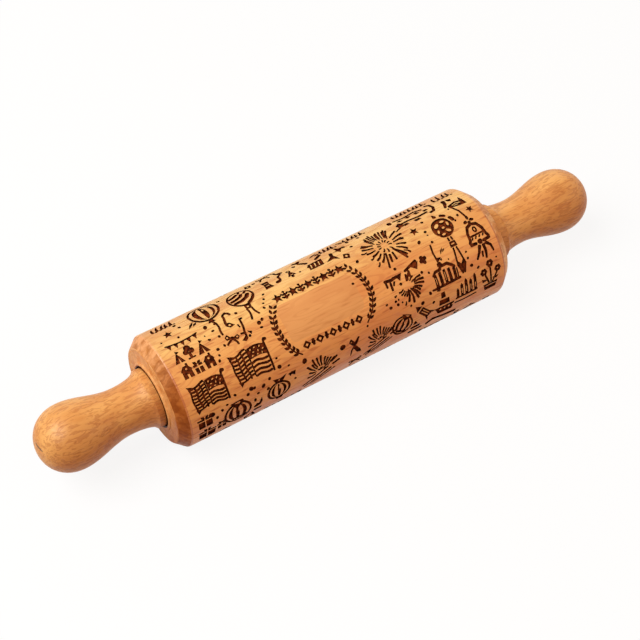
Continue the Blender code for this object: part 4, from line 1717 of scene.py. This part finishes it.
    def sink_floors(self, form: BMesh) -> None:
        """Extrude the engraved faces down into the wood, which makes the walls."""
        land = {face for face in form.faces if face.material_index != Surface.FLOOR.value}
        floor = [face for face in form.faces if face not in land]
        sunk = bmesh.ops.extrude_face_region(form, geom=floor)["geom"]
        bmesh.ops.delete(form, geom=floor, context="FACES")
        lowered = [item for item in sunk if isinstance(item, BMVert)]
        bmesh.ops.translate(form, vec=Vector((0, 0, -self.depth)), verts=lowered)
        kept = land.union(item for item in sunk if isinstance(item, BMFace))
        for face in form.faces:
            if face not in kept:
                face.material_index = Surface.WALL.value

    def bend(self, form: BMesh) -> None:
        """Bend the flat sheet round the roller, its zero line on top."""
        for vert in form.verts:
            turn = vert.co.y / self.radius
            reach = self.radius + vert.co.z
            vert.co = (vert.co.x, reach * math.sin(turn), reach * math.cos(turn))

    def end_outline(self) -> list[Point]:
        """Outline of the right end, from the passage for the axle to the barrel.

        Returns:
            Place along the axle and radius, in order.
        """
        shelf = self.face - self.recess_depth
        pocket_floor = shelf - self.bush_length
        flat_start = self.recess_radius + self.bead_width
        flat_stop = self.radius - self.chamfer_height
        bead = self.bead_width / 2
        bead_place = (self.recess_radius + bead, self.face)
        over_bead = arc(bead, 180, 0, 10, self.bead_height / bead, bead_place)
        return [
            (pocket_floor, self.bore_radius),
            (pocket_floor, self.bush_radius),
            (shelf, self.bush_radius),
            (shelf, self.recess_radius),
            (self.face - self.recess_lip, self.recess_radius),
            *((along, reach) for reach, along in over_bead),
            *bowed((self.face, flat_start), (self.face, flat_stop), self.dish)[1:-1],
            (self.face, flat_stop),
            (self.face - self.chamfer_length, self.radius),
            (self.sheet_end, self.radius),
        ]

    def spin_ends(self, form: BMesh) -> None:
        """Spin both ends and the bore between them, and round the chamfers' edges.

        Args:
            form: The bent sheet, which the ends are added to.
        """
        right = self.end_outline()
        left = [(-along, reach) for along, reach in reversed(right)]
        before = set(form.faces)
        start = (self.seam - self.girth / 2) / self.radius
        lathe(form, left + right, start, -math.tau, self.columns)
        spun = [face for face in form.faces if face not in before]
        for face in spun:
            face.material_index = self.kind_of(face).value
        corners = (
            (self.face - self.chamfer_length, self.radius),
            (self.face, self.radius - self.chamfer_height),
        )
        rings = [(round(along, 3), round(reach, 3)) for along, reach in corners]
        rims = []
        for edge in dict.fromkeys(edge for face in spun for edge in face.edges):
            ends = {(round(abs(vert.co.x), 3), round(vert.co.yz.length, 3)) for vert in edge.verts}
            if len(ends) == 1 and ends.pop() in rings:
                rims.append(edge)
        rounded = bmesh.ops.bevel(
            form,
            geom=rims,
            offset=self.edge_round,
            offset_type="OFFSET",
            segments=3,
            profile=0.5,
            affect="EDGES",
            material=-1,
        )
        for face in rounded["faces"]:
            outer = face.calc_center_median().yz.length > self.radius - self.chamfer_height / 2
            face.material_index = (Surface.EDGE if outer else Surface.END).value

    def kind_of(self, face: BMFace) -> Surface:
        """Tell which kind of surface a spun face of the ends is, by where it lies."""
        middle = face.calc_center_median()
        reach = middle.yz.length
        if reach > self.radius - self.skin:
            return Surface.BARREL
        # Painted shade: the recess and the bead's inner flank get the dark recess wood
        if reach < self.recess_radius + self.recess_shade_rim:
            return Surface.BORE
        if abs(face.normal.x) > self.squareness or abs(middle.x) > self.face - self.dish:
            return Surface.END
        # Painted light: the right end's bevel gets a paler copy of the bevel wood
        return Surface.BEVEL if middle.x < 0 else Surface.PAINTED_LIGHT_BEVEL


def make_piece(form: BMesh, name: str, materials: Sequence[bpy.types.Material]) -> bpy.types.Object:
    """Turn a finished form into an object at the origin, smooth but for its sharp edges.

    Args:
        form: The form in metres, which is used up.
        name: The piece's name.
        materials: Its materials in the order of its faces' material places.

    Returns:
        The new object.
    """
    mesh = bpy.data.meshes.new(name)
    form.to_mesh(mesh)
    form.free()
    mesh.shade_smooth()
    mesh.set_sharp_from_angle(angle=SHARP_ANGLE)
    for finish in materials:
        mesh.materials.append(finish)
    piece = bpy.data.objects.new(name, mesh)
    bpy.context.scene.collection.objects.link(piece)
    triangles = sum(len(face.vertices) - 2 for face in mesh.polygons)
    log.info("%s: %d triangles", name, triangles)
    return piece


@dataclass
class TurnedHandle:
    """A turned beech handle: collar, cove, neck, swelling grip and rounded end.

    Attributes:
        side: Which end of the pin it is on.
        body: The CAD body that it rides on.
        collar_place: Distance from the origin to the collar's end face.
        collar_radius: Radius of the collar.
        collar_length: Length of the collar.
        collar_edge: Chamfer on the collar's inner edge.
        rim_round: Size of the sanded rounding on the collar's rim.
        neck_radius: Radius of the neck.
        cove_length: Length of the hollow curve down to the neck.
        cove_steps: How many parts that curve has.
        swell_length: Length of the swelling up to the thickest place.
        swell_steps: How many parts the swelling has.
        grip_radius: Radius of the thickest place.
        dome_length: Length of the rounded end.
        dome_power: How square the rounded end is, where 2 is an ellipse.
        dome_steps: How many parts the rounded end has.
        hole_radius: Radius of the blind hole for the axle.
        hole_depth: Depth of that hole.
        drill_point: Depth of the cone that the drill leaves.
        collar_shade_length: How far the recess's painted shade reaches along the collar, out of it.
        sides: How many facets there are round it.
    """

    side: Side
    body: str = "handles"
    collar_place: float = 86.3
    collar_radius: float = 14.1
    collar_length: float = 9.2
    collar_edge: float = 0.5
    rim_round: float = 0.3
    neck_radius: float = 11.2
    cove_length: float = 11.9
    cove_steps: int = 14
    swell_length: float = 25.1
    swell_steps: int = 20
    grip_radius: float = 15.7
    dome_length: float = 16.2
    dome_power: float = 2.1
    dome_steps: int = 22
    hole_radius: float = 4.3
    hole_depth: float = 34.8
    drill_point: float = 2.4
    collar_shade_length: float = 0.8
    sides: int = 96

    @property
    def collar_shade_stop(self) -> float:
        """Distance from the collar's end face to where the collar's painted shade stops."""
        roller_face = EngravedRoller.length / 2 + self.side.value * EngravedRoller.shift
        return roller_face - self.collar_place + self.collar_shade_length

    def outline(self) -> list[Point]:
        """Outline from the bottom of the axle hole round to the tip.

        Returns:
            Place along the handle and radius, in order.
        """
        points = [
            (self.hole_depth + self.drill_point, 0.0),
            (self.hole_depth, self.hole_radius),
            (self.collar_edge, self.hole_radius),
            (0.0, self.hole_radius + self.collar_edge),
            (0.0, self.collar_radius - self.collar_edge),
            (self.collar_edge, self.collar_radius),
            (self.collar_shade_stop, self.collar_radius),
            (self.collar_length - self.rim_round, self.collar_radius),
        ]
        neck = self.collar_length + self.cove_length
        fall = (self.collar_radius - self.neck_radius) / self.cove_length
        points += arc(self.cove_length, 180, 270, self.cove_steps, fall, (neck, self.collar_radius))[1:]
        for step in range(1, self.swell_steps + 1):
            share = step / self.swell_steps
            rise = (self.grip_radius - self.neck_radius) * (1 - math.cos(math.pi * share)) / 2
            points.append((neck + self.swell_length * share, self.neck_radius + rise))
        thickest = neck + self.swell_length
        for step in range(1, self.dome_steps):
            turn = math.pi / 2 * step / self.dome_steps
            along = self.dome_length * math.sin(turn) ** (2 / self.dome_power)
            reach = self.grip_radius * math.cos(turn) ** (2 / self.dome_power)
            points.append((thickest + along, reach))
        points.append((thickest + self.dome_length, 0.0))
        return points

    def build(self, finish: bpy.types.Material, shaded_collar_wood: bpy.types.Material) -> bpy.types.Object:
        """Build the handle and put it on its body.

        Args:
            finish: Its wood.
            shaded_collar_wood: The recess's dark wood, painted shade, for the collar's end.

        Returns:
            The finished piece.
        """
        form = bmesh.new()
        facing = self.side.value
        outline = [(facing * (self.collar_place + along), reach) for along, reach in self.outline()]
        lathe(form, outline, math.pi, math.tau, self.sides)
        bmesh.ops.remove_doubles(form, verts=form.verts, dist=MERGE_DISTANCE)
        bmesh.ops.recalc_face_normals(form, faces=form.faces)
        # Painted shade: the collar's end, inside the recess and just out of it, gets the dark wood
        for face in form.faces:
            if abs(face.calc_center_median().x) < self.collar_place + self.collar_shade_stop:
                face.material_index = 1
        bmesh.ops.transform(form, matrix=Matrix.Scale(MM, 4), verts=form.verts)
        piece = make_piece(form, f"turned_handle_{self.side.word}", [finish, shaded_collar_wood])
        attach(piece, self.body)
        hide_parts(f"handle_{self.side.word}")
        return piece


@dataclass(frozen=True)
class Fittings:
    """The axle, bushes and washers: CAD solids that keep their shape and get their finish."""

    steel: Fitting = Fitting("drawn_steel", "#A9ABAD", "#8F9193", True, 0.34, 0.12)
    nylon: Fitting = Fitting("moulded_nylon", "#E9E4D6", "#DDD6C4", False, 0.46, 0.6)
    acetal: Fitting = Fitting("turned_acetal", "#EEEDE8", "#E2E0D8", False, 0.36, 0.3)

    def dress(self, nodes: dict[str, bpy.types.Object]) -> None:
        """Give each fitting its finish.

        Args:
            nodes: The frame's nodes by name.
        """
        steel = self.steel.build()
        nylon = self.nylon.build()
        acetal = self.acetal.build()
        self.paint(nodes["axle_rod"], steel, "axle_steel")
        for side in Side:
            self.paint(nodes[f"bushing_{side.word}"], nylon, "bush_nylon")
            self.paint(nodes[f"thrust_washer_{side.word}"], acetal, "washer_acetal")

    @staticmethod
    def paint(node: bpy.types.Object, finish: bpy.types.Material, slot: str) -> None:
        """Put a finish on every material slot of a CAD node."""
        for place in node.material_slots:
            place.material = finish
        log.info("%s: %s", node.name, finish.name)


@dataclass(frozen=True)
class Camera:
    """The camera, where the photograph was taken from.

    Attributes:
        place: Its place in millimetres.
        tilt: Degrees up from looking straight down.
        heading: Degrees anticlockwise from looking along +Y.
        focal_pixels: Focal length in the photograph's pixels.
        frame_pixels: Width of the photograph.
        sensor: Width of the sensor in millimetres.
    """

    place: Place = (-256.1, -402.5, 581.0)
    tilt: float = 39.10
    heading: float = -32.12
    focal_pixels: float = 1615.4
    frame_pixels: float = 640.0
    sensor: float = 36.0

    def build(self) -> None:
        """Make the camera and set it as the scene's."""
        data = bpy.data.cameras.new("camera")
        data.sensor_width = self.sensor
        data.lens = self.focal_pixels / self.frame_pixels * self.sensor
        data.clip_start = 0.01
        data.clip_end = 50
        item = bpy.data.objects.new("camera", data)
        item.location = Vector(self.place) * MM
        item.rotation_euler = (math.radians(self.tilt), 0, math.radians(self.heading))
        bpy.context.scene.collection.objects.link(item)
        bpy.context.scene.camera = item


@dataclass(frozen=True)
class Lamp:
    """A soft rectangular light that points at the pin, and that the camera doesn't see.

    Attributes:
        name: What it is called.
        radiance: Brightness of its face.
        size: Its width and height in metres.
        place: Its place in metres.
        colour: Colour of its light.
    """

    name: str
    radiance: float
    size: tuple[float, float]
    place: Place
    colour: str = "#FFFFFF"

    def build(self) -> None:
        """Make the light and put it in its place."""
        data = bpy.data.lights.new(self.name, "AREA")
        data.color = linear(self.colour)[:3]
        data.shape = "RECTANGLE"
        data.size, data.size_y = self.size
        data.energy = math.pi * self.radiance * self.size[0] * self.size[1]
        item = bpy.data.objects.new(self.name, data)
        item.location = self.place
        item.rotation_mode = "QUATERNION"
        item.rotation_quaternion = (-Vector(self.place)).to_track_quat("-Z", "Y")
        item.visible_camera = False
        bpy.context.scene.collection.objects.link(item)


@dataclass(frozen=True)
class Studio:
    """Plain studio: a pale floor, soft lights, and even light all round.

    Attributes:
        floor_height: Height of the floor, under the roller.
        floor_width: Width of the floor.
        floor_colour: Colour that the floor gives back to the object.
        shadow_share: How much of the floor's own shade, with the shadow, the camera sees. The rest
            is plain white.
        sky: Strength of the even light.
        sky_colour: Colour of the even light.
        light_box: The main light, behind and above.
        strip_light: A low light behind, which gives the oil its sheen on top.
        fill_screen: A screen before the pin, warmed by the table that it stands on.
    """

    floor_height: float = -27.52
    floor_width: float = 9000.0
    floor_colour: str = "#A8865F"
    shadow_share: float = 0.12
    sky: float = 0.3
    sky_colour: str = "#FFE6C8"
    light_box: Lamp = Lamp("light_box", 5.2, (1.35, 1.13), (-0.93, 0.14, 1.4))
    strip_light: Lamp = Lamp("strip_light", 0.6, (1.8, 0.5), (0.55, 1.1, 0.62))
    fill_screen: Lamp = Lamp("fill_screen", 0.95, (2.2, 1.2), (1.3, -0.85, 0.8), "#FFDFBC")

    def build(self) -> None:
        """Make the floor, the lights and the world, and set the view."""
        bpy.context.scene.view_settings.view_transform = "Standard"
        self.make_floor()
        for lamp in (self.light_box, self.strip_light, self.fill_screen):
            lamp.build()
        self.make_world()

    def make_floor(self) -> None:
        """Make the floor, which can't be seen from below."""
        form = bmesh.new()
        bmesh.ops.create_grid(form, x_segments=1, y_segments=1, size=self.floor_width / 2 * MM)
        bmesh.ops.translate(form, vec=Vector((0, 0, self.floor_height * MM)), verts=form.verts)
        mesh = bpy.data.meshes.new("floor")
        form.to_mesh(mesh)
        form.free()
        made = new_material("studio_floor")
        tree = made.node_tree
        bright = {"Fac": self.seen(tree, 1.0), "Color1": linear(self.floor_colour), "Color2": WHITE}
        colour = add_node(tree, "ShaderNodeMixRGB", bright).outputs["Color"]
        paper = add_node(tree, "ShaderNodeBsdfDiffuse", {"Color": colour})
        white = add_node(tree, "ShaderNodeEmission", {"Strength": 1.0})
        seen = self.seen(tree, 1.0 - self.shadow_share)
        mixed = {"Fac": seen, 1: paper.outputs[0], 2: white.outputs[0]}
        lit = add_node(tree, "ShaderNodeMixShader", mixed)
        clear = add_node(tree, "ShaderNodeBsdfTransparent", {})
        back = add_node(tree, "ShaderNodeNewGeometry", {}).outputs["Backfacing"]
        both = {"Fac": back, 1: lit.outputs[0], 2: clear.outputs[0]}
        set_surface(made, add_node(tree, "ShaderNodeMixShader", both))
        mesh.materials.append(made)
        floor = bpy.data.objects.new("floor", mesh)
        bpy.context.scene.collection.objects.link(floor)

    @staticmethod
    def seen(tree: bpy.types.NodeTree, strength: float) -> bpy.types.NodeSocket:
        """A strength that only camera, mirror and glass rays meet, and other rays don't.

        Args:
            tree: The tree to add the nodes to.
            strength: The strength for those rays.

        Returns:
            The socket that gives it.
        """
        rays = add_node(tree, "ShaderNodeLightPath", {}).outputs
        met = rays["Is Camera Ray"]
        for ray in ("Is Glossy Ray", "Is Transmission Ray"):
            either = {0: met, 1: rays[ray]}
            met = add_node(tree, "ShaderNodeMath", either, operation="MAXIMUM").outputs[0]
        scaled = {0: met, 1: strength}
        return add_node(tree, "ShaderNodeMath", scaled, operation="MULTIPLY").outputs[0]

    def make_world(self) -> None:
        """Make the even light, and the white that the camera sees behind everything."""
        world = bpy.data.worlds.new("studio")
        world.use_nodes = True
        tree = world.node_tree
        tree.nodes.clear()
        even = {"Color": linear(self.sky_colour), "Strength": self.sky}
        light = add_node(tree, "ShaderNodeBackground", even)
        white = add_node(tree, "ShaderNodeBackground", {"Color": WHITE, "Strength": 1.0})
        both = {"Fac": self.seen(tree, 1.0), 1: light.outputs[0], 2: white.outputs[0]}
        mixed = add_node(tree, "ShaderNodeMixShader", both)
        add_node(tree, "ShaderNodeOutputWorld", {"Surface": mixed.outputs[0]})
        bpy.context.scene.world = world


@dataclass(frozen=True)
class Finishes:
    """Every wood finish of the pin. The roller's are named as its kinds of surface are."""

    # Painted shade: the shade tint makes the barrel's front, away from the lights, a deeper orange
    barrel: Beech = Beech(
        "oiled_beech", shade_tint="#FAD8C0", shade_turn=75.0, shade_start=6.0, shade_stop=24.0,
    )
    panel: Beech = Beech(
        "sanded_beech_panel", pale="#E69D57", deep="#D68743", line_share=0.15, fleck_share=0.3,
        patch_share=0.6, gloss_roughness=0.55,
    )
    # Painted shadow: the shade tint darkens the lower front of the end faces, where the handles' shadow
    # falls
    end: Beech = Beech(
        "faced_beech_end", pale="#F2B473", deep="#DE914C", line="#A9602A", line_length=5.0,
        line_width=5.0, line_count=3.0, line_share=0.2, fleck_length=0.6, fleck_width=0.6,
        fleck_share=0.2, patch_size=5.0, patch_share=0.8, gloss_roughness=0.45, shine=0.15,
        shade_tint="#C8A890", shade_turn=110.0, shade_start=12.0, shade_stop=21.0,
    )
    # Painted shade: the shade tint darkens the bevel's lower front
    bevel: Beech = Beech(
        "turned_beech_bevel", pale="#F4B076", deep="#D08748", line="#9A5420", line_length=6.0,
        line_width=3.0, line_count=2.0, line_swirl=0.3, line_share=0.35, fleck_length=3.0,
        fleck_width=0.8, fleck_share=0.4, patch_size=4.0, patch_share=1.0, gloss_roughness=0.42,
        shine=0.12, shade_tint="#C49E70", shade_turn=78.0, shade_start=2.0, shade_stop=22.0,
    )
    # Painted light: a paler copy of the bevel wood without its painted shade, for the right end's bevel,
    # which the lights barely reach
    painted_light_bevel: Beech = replace(
        bevel, name="turned_beech_pale_bevel", pale="#FFCB96", deep="#EBA468", shade_tint="#FFFFFF"
    )
    # Painted shade: the shade tint darkens the rounded edge towards the front
    edge: Beech = Beech(
        "sanded_beech_edge", pale="#FBBC7C", deep="#E79A54", patch_share=0.6, shade_tint="#D0A47C",
        shade_turn=70.0, shade_start=10.0, shade_stop=22.0,
    )
    # Painted shade: dark wood for the recess, the bead's inner flank and the collars' ends, where the gap is
    # in shade
    bore: Beech = Beech("shaded_beech_recess", pale="#5C3013", deep="#44200B", shine=0.1)
    wall: CharredBeech = CharredBeech("charred_beech_wall", "#280B02", "#5A2008")
    floor: CharredBeech = CharredBeech("charred_beech_floor", "#3C1203", "#8A3A14")

    def for_roller(self) -> dict[Surface, bpy.types.Material]:
        """Build the roller's materials.

        Returns:
            One for each kind of surface.
        """
        return {kind: getattr(self, kind.name.lower()).build() for kind in Surface}

    @staticmethod
    def for_handle(side: Side) -> bpy.types.Material:
        """Build one handle's wood, each with its own figure.

        Args:
            side: Which handle it is.

        Returns:
            The material.
        """
        # Painted shade: the shade tint darkens the grip's lower front side
        wood = Beech(
            f"oiled_beech_handle_{side.word}", pale="#F5B466", deep="#DC8F44", line="#B66526",
            line_length=6.5, line_width=1.15, line_count=2.0, line_swirl=0.5, line_share=0.45,
            fleck_length=3.0, fleck_width=0.6, fleck_share=0.35, patch_size=8.0, patch_share=0.7,
            shine=0.5, dent=0.15, drift=11.3 * side.value, shade_tint="#DECAB6", shade_turn=72.0,
            shade_start=5.5, shade_stop=15.0, check=(-147.7, -1.5, 5.1) if side is Side.LEFT else None,
        )
        return wood.build()


def main() -> None:
    """Build the camera, the studio and every piece in order."""
    logging.basicConfig(level=logging.INFO, format="%(message)s")
    Camera().build()
    Studio().build()
    finishes = Finishes()
    woods = finishes.for_roller()
    EngravedRoller().build(woods)
    for side in Side:
        TurnedHandle(side).build(finishes.for_handle(side), woods[Surface.BORE])
    Fittings().dress(frame["nodes"])


if __name__ == "__main__":
    main()
